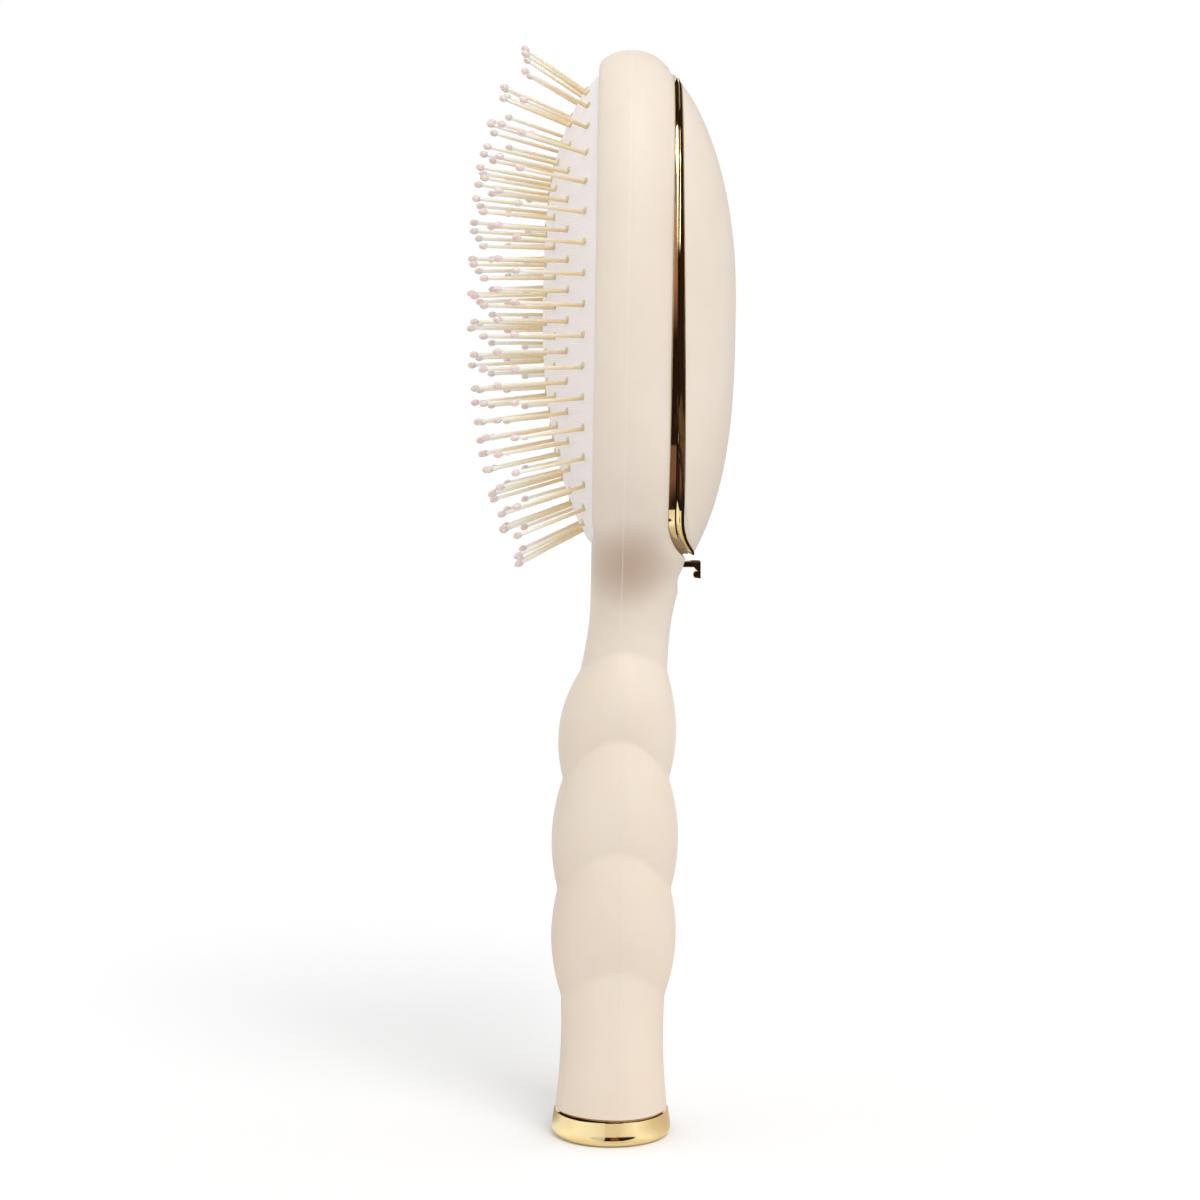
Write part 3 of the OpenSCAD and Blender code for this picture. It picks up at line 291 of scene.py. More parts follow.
def outward(obj):
    # Turns the normals out if the closed mesh's volume comes out negative
    data = obj.data
    co = np.zeros(len(data.vertices) * 3)
    data.vertices.foreach_get("co", co)
    co = co.reshape(-1, 3)
    data.calc_loop_triangles()
    tri = np.zeros(len(data.loop_triangles) * 3, int)
    data.loop_triangles.foreach_get("vertices", tri)
    a, b, c = (co[tri.reshape(-1, 3)[:, i]] for i in range(3))
    if np.einsum("ij,ij->i", a, np.cross(b, c)).sum() < 0:
        data.flip_normals()
    return obj


def ringPiece(name, rings, closed=False, poles=False):
    # Rings of points joined in turn. closed joins the last to the first; poles ends each end in a point.
    rings = [np.asarray(r, float) for r in rings]
    n = len(rings[0])
    verts = np.concatenate(rings)
    faces = gridFaces(len(rings), n, True)
    if closed:
        last = (len(rings) - 1) * n
        faces += [(last + j, last + (j + 1) % n, (j + 1) % n, j) for j in range(n)]
    if poles:
        ends = []
        for k, ring in enumerate((rings[0], rings[-1])):
            centre = len(verts) + k
            ends.append(ring.mean(0))
            base = 0 if k == 0 else (len(rings) - 1) * n
            fan = [(base + j, base + (j + 1) % n, centre) for j in range(n)]
            faces += turn(fan) if k == 0 else fan
        verts = np.concatenate([verts, ends])
    return outward(meshPiece(name, verts, faces))


def applied(obj):
    graph = bpy.context.evaluated_depsgraph_get()
    data = bpy.data.meshes.new_from_object(obj.evaluated_get(graph))
    obj.modifiers.clear()
    old = obj.data
    obj.data = data
    data.name = obj.name
    bpy.data.meshes.remove(old)
    return obj


def cut(obj, cutters):
    for c in cutters:
        mod = obj.modifiers.new("cut", "BOOLEAN")
        mod.operation = "DIFFERENCE"
        mod.solver = "MANIFOLD"
        mod.object = c
    bpy.context.view_layer.update()
    applied(obj)
    for c in cutters:
        bpy.data.objects.remove(c)
    return obj


def smooth(obj, angle=28):
    obj.data.polygons.foreach_set("use_smooth", np.ones(len(obj.data.polygons), bool))
    obj.data.set_sharp_from_angle(angle=math.radians(angle))
    return obj


def block(x0, x1, w, z0, z1, head=True):
    p = np.array([(x, y, z) for x in (x0, x1) for y in (-w / 2, w / 2) for z in (z0, z1)])
    faces = [(0, 1, 3, 2), (4, 6, 7, 5), (0, 4, 5, 1), (2, 3, 7, 6), (0, 2, 6, 4), (1, 5, 7, 3)]
    return outward(meshPiece("cutter", inHead(p) if head else p, faces))


def rodY(r, w, x, l, sides=48):
    a = around(sides)
    rings = [np.stack([x + r * np.cos(a), np.full(sides, y), l + r * np.sin(a)], -1) for y in (-w / 2, w / 2)]
    return ringPiece("cutter", [inHead(r) for r in rings], poles=True)


def ovalRing(w, up, down, x, n=192):
    # One ring of an oval at a level of the head's own frame
    a = around(n)
    y, l = w * full(np.cos(a)), np.where(np.sin(a) > 0, up, down) * full(np.sin(a))
    return np.stack([np.full(n, float(x)), y, l], -1)


def ovalLoft(name, w, up, down, profile):
    # Lofts (inset, x) pairs round an oval
    return ringPiece(name, [inHead(ovalRing(w - i, up - i, down - i, x)) for i, x in profile], poles=True)


# Materials
class Sock:
    # A shader value that takes part in plain expressions.

    def __init__(self, tree, socket):
        self.tree, self.socket = tree, socket

    def _math(self, kind, *others):
        n = self.tree.nodes.new("ShaderNodeMath")
        n.operation = kind
        for i, v in enumerate((self,) + others):
            self.tree.feed(n.inputs[i], v)
        return Sock(self.tree, n.outputs[0])

    def __add__(self, o):
        return self._math("ADD", o)

    def __sub__(self, o):
        return self._math("SUBTRACT", o)

    def __mul__(self, o):
        return self._math("MULTIPLY", o)

    def __truediv__(self, o):
        return self._math("DIVIDE", o)

    def __pow__(self, o):
        return self._math("POWER", o)

    __radd__ = __add__
    __rmul__ = __mul__

    def __rsub__(self, o):
        return self.tree.value(o)._math("SUBTRACT", self)

    def clip(self):
        n = self.tree.nodes.new("ShaderNodeClamp")
        self.tree.feed(n.inputs[0], self)
        return Sock(self.tree, n.outputs[0])

    def wave(self):
        return self._math("SINE")

    def absolute(self):
        return self._math("ABSOLUTE")

    def above(self, o):
        return self._math("GREATER_THAN", o)

    def between(self, a, b):
        return self.tree.node("ShaderNodeMapRange", {0: self, 1: a, 2: b, 3: 0.0, 4: 1.0},
                              interpolation_type="SMOOTHSTEP")


class Tree:
    def __init__(self, tree):
        self.tree, self.nodes = tree, tree.nodes

    def feed(self, socket, v):
        if isinstance(v, Sock):
            self.tree.links.new(v.socket, socket)
        else:
            socket.default_value = v

    def value(self, v):
        if isinstance(v, Sock):
            return v
        n = self.nodes.new("ShaderNodeMath")
        n.operation = "ADD"
        n.inputs[0].default_value = v
        n.inputs[1].default_value = 0
        return Sock(self, n.outputs[0])

    def node(self, kind, inputs=None, out=0, **settings):
        n = self.nodes.new(kind)
        for k, v in settings.items():
            setattr(n, k, v)
        for k, v in (inputs or {}).items():
            self.feed(n.inputs[k], v)
        return Sock(self, n.outputs[out])

    def colour(self, a, b, factor):
        n = self.nodes.new("ShaderNodeMix")
        n.data_type = "RGBA"
        self.feed(n.inputs["Factor"], factor)
        for key, v in ((6, a), (7, b)):
            self.feed(n.inputs[key], v if isinstance(v, Sock) else (*v, 1))
        return Sock(self, n.outputs[2])

    def place(self):
        return self.node("ShaderNodeTexCoord", out=3)

    def parts(self, v):
        n = self.nodes.new("ShaderNodeSeparateXYZ")
        self.feed(n.inputs[0], v)
        return [Sock(self, o) for o in n.outputs]

    def noise(self, scale, detail=3.0, rough=0.5, where=None):
        return self.node("ShaderNodeTexNoise", {"Vector": where or self.place(), "Scale": scale, "Detail": detail,
                                                "Roughness": rough})

    def bump(self, height, distance, strength):
        return self.node("ShaderNodeBump", {"Height": height, "Distance": distance, "Strength": strength})


def linear(r, g, b):
    return tuple((c / 255 / 12.92) if c <= 10 else ((c / 255 + 0.055) / 1.055) ** 2.4 for c in (r, g, b))


def material(name, build, **constants):
    mat = bpy.data.materials.new(name)
    mat.use_nodes = True
    t = Tree(mat.node_tree)
    shader = mat.node_tree.nodes["Principled BSDF"]
    for key, v in constants.items():
        shader.inputs[key.replace("_", " ")].default_value = v
    for key, v in build(t).items():
        t.feed(shader.inputs[key], v)
    return mat


# The warm colour is partly random tone and partly painted shade low on the handle.
softCream = {"base": linear(236, 223, 208), "toneAndShade": linear(229, 212, 193), "grain": 2600, "blotch": 38,
             # The pale seam colour on the next line paints a highlight along the parting line.
             "seam": linear(243, 232, 219), "seamHalf": 0.00018, "seamFrom": 0.095, "seamTo": 0.115,
             # The brown hollow colour on the next line paints shade under the head.
             "line": 0.5, "hollow": linear(190, 160, 136), "hollowX": 0.0034, "hollowZ": 0.1292, "hollowR": 0.0115,
             "hollowFull": 0.8}


def softTouch(t, spec=softCream):
    x, _, z = t.parts(t.place())
    cloud = t.noise(spec["blotch"], 3, 0.55)
    grain = t.noise(spec["grain"], 2, 0.6)
    fine = t.noise(spec["grain"] * 0.24, 3, 0.6)
    # Warmer in random patches, and painted shade: warmer and darker towards the handle's lower end
    toneAndShadeMix = (cloud.between(0.3, 0.72) * 0.5 + 0.6 - z.between(0.02, 0.15) * 0.6).clip()
    # Painted highlight: a fine pale line where the two halves of the body meet, as if their edges caught the light,
    # fading out lower down
    low, neck, top = (dims[key] * mm for key in ("partLow", "partNeck", "partTop"))
    below = z * ((neck - low) / (neckZ * mm)) + low
    above = (z - neckZ * mm) * ((top - neck) / ((dims["height"] - neckZ) * mm)) + neck
    off = (x - below._math("MAXIMUM", above)).absolute()
    line = (1 - off / spec["seamHalf"]).clip() * z.between(spec["seamFrom"], spec["seamTo"])
    # Painted shade: a soft brown darkening in the hollow under the head, where the head's overhang shades the neck
    away = ((x - spec["hollowX"]) ** 2 + (z - spec["hollowZ"]) ** 2) / spec["hollowR"] ** 2
    hollow = (1 - away).clip() ** 1.5 * spec["hollowFull"]
    colour = t.colour(spec["base"], spec["toneAndShade"], toneAndShadeMix)
    colour = t.colour(colour, spec["hollow"], hollow)
    return {
        "Base Color": t.colour(colour, spec["seam"], line * spec["line"]),
        "Roughness": 0.5 + 0.09 * fine + 0.05 * cloud,
        "Normal": t.bump(grain * 0.6 + fine, 0.00003, 0.35),
    }


def innerPlastic(t):
    cloud = t.noise(60, 3)
    grain = t.noise(1800, 2)
    return {
        "Base Color": t.colour(linear(232, 219, 203), linear(226, 211, 193), cloud.between(0.3, 0.7)),
        "Roughness": 0.36 + 0.12 * cloud,
        "Normal": t.bump(grain, 0.00003, 0.3),
    }


padSkin = {"base": linear(253, 246, 245), "rose": linear(249, 239, 238), "pitch": 0.00052}


def padRubber(t, spec=padSkin):
    _, y, z = t.parts(t.place())
    k = 2 * math.pi / spec["pitch"]
    rows = (z * k).wave() * 0.5 + 0.5
    weave = rows * ((y * k).wave() * 0.5 + 0.5)
    cloud = t.noise(70, 3)
    tint = (0.55 * cloud + 0.25 * weave + 0.1 * rows).clip()
    return {
        "Base Color": t.colour(spec["base"], spec["rose"], tint),
        "Roughness": 0.52 + 0.2 * weave,
        "Normal": t.bump(weave + 0.5 * rows, 0.00006, 0.45),
    }


# The end colour paints a highlight along the pins' outer run.
nylon = {"foot": linear(229, 212, 172), "mid": linear(234, 225, 200), "end": linear(248, 244, 236),
         "deep": linear(222, 202, 160)}


def nylonShaft(t, spec=nylon):
    # Golden at the foot; the whitening towards the tip is a painted highlight
    along = t.node("ShaderNodeAttribute", out=2, attribute_name="along")
    cloud = t.noise(240, 2)
    low = t.colour(spec["foot"], spec["deep"], cloud.between(0.35, 0.7))
    clear = t.colour(spec["mid"], spec["end"], along.between(0.45, 0.95))
    return {
        "Base Color": t.colour(low, clear, along.between(0.05, 0.6)),
        "Roughness": 0.22 + 0.12 * cloud,
        "Normal": t.bump(cloud, 0.00004, 0.2),
    }


def nylonTip(t):
    cloud = t.noise(900, 2)
    return {
        "Base Color": t.colour(linear(240, 222, 218), linear(232, 207, 201), cloud.between(0.35, 0.7)),
        "Roughness": 0.16 + 0.1 * cloud,
        "Normal": t.bump(cloud, 0.00005, 0.2),
    }


def goldPlate(t):
    cloud = t.noise(90, 4, 0.6)
    fine = t.noise(900, 3, 0.6)
    smear = t.noise(24, 2)
    return {
        "Base Color": t.colour(linear(239, 219, 168), linear(233, 209, 154), cloud.between(0.35, 0.7)),
        "Roughness": 0.03 + 0.03 * cloud + 0.03 * smear.between(0.5, 0.8),
        "Normal": t.bump(fine * 0.3 + cloud, 0.00001, 0.2),
    }


def whiteResin(t):
    cloud = t.noise(80, 3)
    return {
        "Base Color": t.colour(linear(238, 237, 230), linear(230, 228, 219), cloud.between(0.3, 0.7)),
        "Roughness": 0.38 + 0.1 * cloud,
        "Normal": t.bump(t.noise(1500, 2), 0.00003, 0.3),
    }


def plainSteel(t):
    x, y, z = t.parts(t.place())
    lines = t.noise(500, 3, 0.6, where=t.node("ShaderNodeCombineXYZ", {0: x * 6, 1: y, 2: z * 6}))
    return {
        "Base Color": t.colour(linear(196, 197, 199), linear(168, 169, 172), lines.between(0.3, 0.75)),
        "Roughness": 0.24 + 0.16 * lines,
        "Normal": t.bump(lines, 0.00002, 0.4),
    }


mats = {
    "soft_cream": material("softCream", softTouch, Subsurface_Weight=0.06, Subsurface_Scale=0.002,
                           Sheen_Weight=0.12, Sheen_Roughness=0.4),
    "inner_cream": material("innerCream", innerPlastic),
    "pad_rubber": material("padRubber", padRubber, Subsurface_Weight=0.1, Subsurface_Scale=0.002),
    "nylon": material("nylonShaft", nylonShaft, Subsurface_Weight=0.35, Subsurface_Scale=0.0012),
    "nylon_tip": material("nylonTip", nylonTip, Subsurface_Weight=0.35, Subsurface_Scale=0.001, Coat_Weight=0.6,
                          Coat_Roughness=0.05),
    "gold": material("goldPlate", goldPlate, Metallic=1.0),
    "white_resin": material("whiteResin", whiteResin),
    "steel": material("plainSteel", plainSteel, Metallic=1.0),
}
print("materials made")


def dress(obj, slot, body, *nodes):
    obj.data.materials.clear()
    obj.data.materials.append(mats[slot])
    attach(obj, body)
    if nodes:
        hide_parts(*nodes)
    return obj


slots = {s["node"]: s["material_slot"] for s in frame["record"]["subparts"]}
for node, obj in frame["nodes"].items():
    obj.data.materials.clear()
    obj.data.materials.append(mats[slots[node]])


# Body shells
over = 1  # how far a cut runs past what it cuts
shell = {"rows": 330, "across": 96, "lowShare": 0.62, "partingGap": 0.03, "wall": 2.6, "plugD": 18.6, "plugLen": 12,
         "plugGap": 0.1, "plugEnd": 1.5, "cutHalf": 45}
pad = {"w": 69, "len": 105.2, "crown": 11.85, "flange": 1.8, "gap": 0.2, "rimWall": 2.2, "flangeT": 1.4,
       "mouthR": 0.5, "mouthOut": 0.4, "sidePower": 1.8, "upPower": 3.2, "downPower": 2.15, "sideFall": 1.05,
       "endFall": 0.82}
tray = {"w": 57, "up": 45.1, "down": 43.1, "wall": 1.4, "floor": 1.2, "depth": 7.4, "flange": 2.8, "flangeT": 0.8,
        "under": 0.1, "inR": 1.6, "lipR": 0.5, "edge": 0.2, "footR": 0.6}
lid = {"w": 68.6, "up": 52.8, "down": 54.7, "dome": 15.1, "domeDown": 62.1, "wall": 1.8, "gap": 0.1, "steps": 256,
       "lipEdge": 0.12, "lipStep": 0.1, "sidePower": 2.4, "upPower": 2.2, "downPower": 3.0, "fall": 0.76}
trim = {"high": 0.85, "low": 1.7, "w": 2, "lift": 0.05, "foot": 0.1}
bezel = {"high": 0.9, "low": 1.8, "w": 5, "bulge": 0.16, "foot": 0.12, "edge": 0.1, "under": 0.05, "inset": 0.06,
         "reach": 34}
hinge = {"x": 12.8, "up": 51.9, "barrel": 2, "pin": 1, "knuckle": 7, "ear": 2.8, "swing": 2.3, "side": 0.2,
         "footDeep": 2.7, "footHigh": 4.2}
catchSlot = {"deep": 4.2, "w": 5.8, "low": -50.0, "high": -46.8}
tab = {"w": 6, "t": 1.3, "z": 129.3, "x": 20.2, "leg": 3.8, "legT": 1.6, "bead": 0.85, "beadOut": 0.13,
       "root": 9.5, "slotX": 10.6, "round": 0.16}
sliderRoom = {"fromX": 3.6, "toX": 11, "w": 7.6, "low": 126.2, "high": 132.9}
farX = dims["seat"] + lid["dome"] + over
swingShare = (hinge["up"] - hinge["pin"] / 2) / lid["up"]
swingW = lid["w"] * (1 - swingShare ** dims["ovalPower"]) ** (1 / dims["ovalPower"]) + 4 * hinge["side"]


def bodyLevels(count):
    # Even steps up the body, then closer ones into the crown
    bend = headLow + 1.6 * dims["neckW"]
    start = math.asin((bend - headZ) / halfLen)
    low = np.linspace(dims["capH"], bend, int(count * shell["lowShare"]))
    high = headZ + halfLen * np.sin(np.linspace(start, math.pi / 2, count - len(low))[1:-1])
    return np.concatenate([low, high])


def bodyHalf(name, side, spec=shell):
    z = bodyLevels(spec["rows"])
    t = np.linspace(-1, 1, spec["across"] + 1)
    grid = bodyPoints(z, t, side)
    # A fine gap along the parting line
    grid[:, [0, -1], 1] *= 1 - spec["partingGap"] / np.maximum(np.abs(grid[:, [0, -1], 1]), 1)
    rows, cols = grid.shape[:2]
    verts = list(grid.reshape(-1, 3)) + [np.array([float(partX(np.array(dims["height"]))), 0, dims["height"]])]
    top = rows * cols
    faces = gridFaces(rows, cols)
    faces += [(i * cols, (i + 1) * cols, (i + 2) * cols - 1, (i + 1) * cols - 1) for i in range(rows - 1)]
    last = (rows - 1) * cols
    faces += [(last + j, last + j + 1, top) for j in range(cols - 1)] + [(last + cols - 1, last, top)]
    faces += [(0, j + 1, j) for j in range(1, cols - 1)]
    return outward(meshPiece(name, verts, faces))


def cavity(side, spec=shell):
    z = np.linspace(dims["capH"] + spec["plugLen"] + over, seamHigh, 60)
    t = np.linspace(-1, 1, 33)
    grid = bodyPoints(z, t, side, spec["wall"])
    edge = grid[:, ::-1].copy()
    edge[..., 0] = grid[:, ::-1][:, [0, -1]].mean(1, keepdims=True)[..., 0] - side
    both = np.concatenate([grid, edge], 1)
    return ringPiece("cutter", list(both), poles=True)


def plugBore(spec=shell):
    r = spec["plugD"] / 2 + spec["plugGap"]
    ends = (dims["capH"] - over, dims["capH"] + spec["plugLen"] + spec["plugEnd"])
    return ringPiece("cutter", turned([(r, z) for z in ends], 96), poles=True)


def padWell():
    # The well's mouth flares a little, which rounds the rim's inner edge
    r, top = pad["mouthR"], -dims["front"]
    flare = [(-(pad["gap"] + r * (1 - math.sin(a))), top + r * (1 - math.cos(a)) - 0.001)
             for a in np.linspace(0, math.pi / 2, 6)]
    profile = [(-(pad["gap"] + r + pad["mouthOut"]), top - over)] + flare
    profile.append((-pad["gap"], top + pad["rimWall"] + over))
    return ovalLoft("cutter", pad["w"] / 2, pad["len"] / 2, pad["len"] / 2, profile)


frontShell = bodyHalf("frontShell", -1)
ledge = -dims["front"] + pad["rimWall"]
well = pad["flange"] + 2 * pad["gap"]
cut(frontShell, [
    padWell(),
    ovalLoft("cutter", pad["w"] / 2 + well, pad["len"] / 2 + well, pad["len"] / 2 + well,
             [(0, ledge), (0, dims["partTop"] + over)]),
    cavity(-1), plugBore()])
smooth(frontShell)
dress(frontShell, "soft_cream", "brush", "front_shell")
print("front shell", len(frontShell.data.polygons))


def seatCut():
    ls = np.concatenate([[lid["up"] + over], np.linspace(20, -sweepStart, 4),
                         -sweepStart - dims["sweepLen"] * np.linspace(0, 1, 41)[1:]])
    low = [(float(seatX(l)), l) for l in ls]
    outline = low + [(farX, low[-1][1]), (farX, halfLen + over), (dims["seat"], halfLen + over)]
    n = len(outline)
    verts = [(x, y, l) for y in (-shell["cutHalf"], shell["cutHalf"]) for x, l in outline]
    faces = [tuple(range(n)), tuple(reversed(range(n, 2 * n)))]
    faces += [(i, i + n, (i + 1) % n + n, (i + 1) % n) for i in range(n)]
    return outward(meshPiece("cutter", inHead(verts), faces))


def trayRoom(grow, floor):
    return ovalLoft("cutter", tray["w"] / 2 + grow, tray["up"] + grow, tray["down"] + grow,
                    [(0, floor - tray["under"]), (0, seat + over)])


seat = dims["seat"]
trayX = seat - tray["depth"]
side = hinge["side"]
bracketW = hinge["knuckle"] + 2 * side + 2 * hinge["ear"]
backShell = bodyHalf("backShell", 1)
cut(backShell, [
    seatCut(),
    trayRoom(side, trayX), trayRoom(side + tray["flange"], seat - tray["flangeT"]),
    block(seat - hinge["footDeep"], seat + over, bracketW + 2 * side, hinge["up"] - hinge["footHigh"], hinge["up"]),
    rodY(hinge["swing"], swingW + over, hinge["x"], hinge["up"]),
    block(seat - catchSlot["deep"], seat + over, catchSlot["w"], catchSlot["low"], catchSlot["high"]),
    block(*sliderRoom.values(), head=False),
    block(tab["slotX"], tab["x"], tab["w"] + 2 * side, tab["z"] - tab["t"] - side, tab["z"] + side, head=False),
    cavity(1), plugBore()])
smooth(backShell)
dress(backShell, "soft_cream", "brush", "back_shell")
print("back shell", len(backShell.data.polygons))


# Lid
def bandT(l, spec):
    # Either ring is thicker at the lid's lower end
    return mix(spec["low"], spec["high"], ease((l + lid["down"]) / (lid["up"] + lid["down"])))


def trimTop(l):
    return seatX(l) + bandT(l, trim)


def bezelX(l):
    return trimTop(l) + lid["gap"]


def borderX(l):
    return bezelX(l) + bandT(l, bezel)


def domeX(y, l, inset=0.0):
    u = y / (lid["w"] / 2 - inset)
    v = l / (np.where(l > 0, lid["up"], lid["domeDown"]) - inset)
    p = mix(lid["sidePower"], np.where(l > 0, lid["upPower"], lid["downPower"]),
            (v / np.maximum(np.hypot(u, v), 1e-9)) ** 2)
    return seat + (lid["dome"] - inset) * np.maximum(0, 1 - ovalNorm(u, v) ** p) ** lid["fall"]


def domeRing(share, inset=0.0):
    a = around(lid["steps"])
    y = (lid["w"] / 2 - inset) * full(np.cos(a)) * share
    l = (np.where(np.sin(a) > 0, lid["up"], lid["down"]) - inset) * full(np.sin(a)) * share
    return np.stack([domeX(y, l, inset), y, l], -1)


def shareAt(level, inset=0.0):
    # Share of the plan outline at which the dome reaches a level over each place on the edge
    lo, hi = np.zeros(lid["steps"]), np.ones(lid["steps"])
    for _ in range(40):
        m = (lo + hi) / 2
        x, _, l = domeRing(m, inset).T
        lo, hi = np.where(x > level(l), m, lo), np.where(x > level(l), hi, m)
    return (lo + hi) / 2


def lidShell():
    edge, edgeIn = shareAt(borderX), shareAt(borderX, lid["wall"])
    u = np.linspace(0.02, 1, 48)
    outer = [domeRing(edge * k) for k in 1 - (1 - u) ** 1.8]
    # A small rounded edge where the dome meets the gold
    lip = domeRing(edge)
    lip[:, 1:] *= 1 - lid["lipEdge"] / np.hypot(lip[:, 1], lip[:, 2])[:, None]
    lip[:, 0] = borderX(lip[:, 2])
    outer[-1][:, 0] += lid["lipStep"]
    inner = [domeRing(edgeIn * k, lid["wall"]) for k in 1 - (1 - u[::-2]) ** 1.8]
    inner[0][:, 0] = borderX(inner[0][:, 2])
    return ringPiece("lidShell", [inHead(r) for r in outer + [lip] + inner], poles=True)


def onDome(level, inset=0.0):
    # A ring of the band on the dome's own surface
    ring = domeRing(shareAt(level) if inset == 0 else shareAt(level) * (1 - inset / bezel["reach"]))
    ring[:, 0] = level(ring[:, 2])
    return inHead(ring)


def onPlan(level, inset=0.0):
    # A ring of the band straight above the lid's outline
    ring = ovalRing(lid["w"] / 2 - inset, lid["up"] - inset, lid["down"] - inset, 0, lid["steps"])
    ring[:, 0] = level(ring[:, 2])
    return inHead(ring)


def bezelBand(spec=bezel):
    def top(l):
        return borderX(l) - spec["under"]

    rings = [onDome(bezelX, spec["foot"])]
    for u in np.linspace(0, 1, 9):
        rings.append(onDome(lambda l: mix(bezelX(l) + spec["edge"], top(l) - spec["inset"], u),
                            -4 * spec["bulge"] * u * (1 - u)))
    rings += [onDome(top, spec["edge"]), onPlan(top, spec["w"]), onPlan(bezelX, spec["w"])]
    return ringPiece("lidBezel", rings, closed=True)


def trimBand(spec=trim):
    def foot(l):
        return seatX(l) + spec["lift"]

    def under(drop):
        return lambda l: trimTop(l) - drop

    # Insets and drops of the fine bevel along its upper edge
    bevel = [(0, 0.24), (0.004, 0.16), (0.05, 0.05), (0.16, 0), (spec["w"], 0)]
    rings = [onPlan(foot, spec["foot"]), onPlan(lambda l: foot(l) + spec["foot"])]
    rings += [onPlan(under(drop), inset) for inset, drop in bevel]
    return ringPiece("seatTrim", rings + [onPlan(foot, spec["w"])], closed=True)


lidDome = smooth(lidShell(), 40)
dress(lidDome, "soft_cream", "lid", "lid_shell")

lidBezel = cut(bezelBand(), [
    block(0, farX, hinge["knuckle"] + 2 * side, lid["up"] - bezel["w"] - over, lid["up"] + over)])
dress(smooth(lidBezel), "gold", "lid", "lid_bezel")

seatTrim = cut(trimBand(), [
    block(0, farX, bracketW + 4 * side, hinge["up"] - 2 * hinge["barrel"], lid["up"] + over),
    block(0, farX, swingW, hinge["up"] - hinge["pin"], lid["up"] + over)])
dress(smooth(seatTrim), "gold", "brush", "seat_trim")
print("lid made")


# Compartment tray
def trayLiner(spec=tray):
    w, out, floor, edge, foot = (spec[key] for key in ("w", "flange", "floor", "edge", "footR"))
    r, lipR = spec["inR"], spec["lipR"]
    middle = w / 2 - 0.5  # the rings end just short of the middle
    bend = np.linspace(0, math.pi / 2, 8)
    inside = [(spec["wall"] + r * (1 - math.cos(b)), trayX + floor + r * (1 - math.sin(b))) for b in bend]
    lip = [(spec["wall"] - lipR * (1 - math.sin(b)), seat - lipR * (1 - math.cos(b))) for b in bend]
    profile = [(middle, trayX + floor)] + inside[::-1] + lip
    profile += [(edge - out, seat), (-out, seat - edge), (-out, seat - spec["flangeT"]), (0, seat - spec["flangeT"]),
                (0, trayX + foot), (foot, trayX), (middle, trayX)]
    return ovalLoft("trayLiner", w / 2, spec["up"], spec["down"], profile)


liner = smooth(trayLiner(), 40)
dress(liner, "inner_cream", "brush", "compartment_tray")


# Cushion
def crown(u, v):
    s = v / np.maximum(np.hypot(u, v), 1e-9)
    p = mix(pad["sidePower"], np.where(s > 0, pad["upPower"], pad["downPower"]), s * s)
    q = mix(pad["sideFall"], pad["endFall"], s * s)
    return np.maximum(0, 1 - np.minimum(1, ovalNorm(u, v)) ** p) ** q


def crownAt(y, l):
    return pad["crown"] * crown(y / (pad["w"] / 2), l / (pad["len"] / 2))


def crownNormal(y, l, e=0.42):
    n = np.stack([-np.ones_like(y), -(crownAt(y + e, l) - crownAt(y - e, l)) / (2 * e),
                  -(crownAt(y, l + e) - crownAt(y, l - e)) / (2 * e)], -1)
    return n / np.linalg.norm(n, axis=-1, keepdims=True)


def cushionForm(n=224):
    c, s = full(np.cos(around(n))), full(np.sin(around(n)))
    front = -dims["front"]

    def ring(r):
        y, l = r * c * pad["w"] / 2, r * s * pad["len"] / 2
        return np.stack([front - crownAt(y, l), y, l], -1)

    def flat(grow, x):
        return np.stack([np.full(n, x), (pad["w"] / 2 + grow) * c, (pad["len"] / 2 + grow) * s], -1)

    back = ledge + pad["flangeT"]
    rings = [ring(r) for r in 1 - (1 - np.linspace(0.015, 0.995, 70)) ** 1.7]
    step = ledge + pad["gap"] / 2
    rings += [flat(0, front), flat(0, step), flat(pad["flange"], step), flat(pad["flange"], back),
              flat(-2, back), flat(-20, back)]
    return ringPiece("airCushion", [inHead(r) for r in rings], poles=True)


cushion = smooth(cushionForm(), 35)
dress(cushion, "pad_rubber", "brush", "cushion")
print("cushion made")


# Pins
pins = {"length": 17.3, "radius": 0.42, "tipR": 0.76, "tipLen": 2.05, "root": 2.0,
        "collarR": 0.8, "collarT": 0.7, "collarUp": 0.55, "collarFlat": 0.8,
        "inset": 4.7, "insetUp": 3.6, "insetDown": 2.9, "gap": 7, "stepShare": 0.82, "power": 2.8,
        "rows": [40, 34, 28, 22], "centre": 8}


def ringSizes(k, spec=pins):
    run = k * spec["gap"] * spec["stepShare"]
    return (pad["w"] / 2 - spec["inset"] - k * spec["gap"], pad["len"] / 2 - spec["insetUp"] - run,
            pad["len"] / 2 - spec["insetDown"] - run)


def ringPlaces(k, n, spec=pins):
    # Even places round a ring, the first at its top
    w, up, down = ringSizes(k)
    a = np.radians(90 + 1.5 * np.arange(241))
    y = w * full(np.cos(a), spec["power"])
    l = np.where(np.sin(a) > 0, up, down) * full(np.sin(a), spec["power"])
    run = np.concatenate([[0], np.cumsum(np.hypot(np.diff(y), np.diff(l)))])
    at = np.arange(n) / n * run[-1]
    return np.interp(at, run, y), np.interp(at, run, l)


def pinFeet(spec=pins):
    rings = [ringPlaces(k, n) for k, n in enumerate(spec["rows"])]
    w, up, down = ringSizes(len(spec["rows"]) - 1)
    step = spec["gap"] * spec["stepShare"]
    rings.append((np.zeros(spec["centre"]), np.linspace(step - down, up - step, spec["centre"])))
    y, l = (np.concatenate(v) for v in zip(*rings))
    feet = np.stack([-dims["front"] - crownAt(y, l), y, l], -1)
    return feet, crownNormal(y, l)


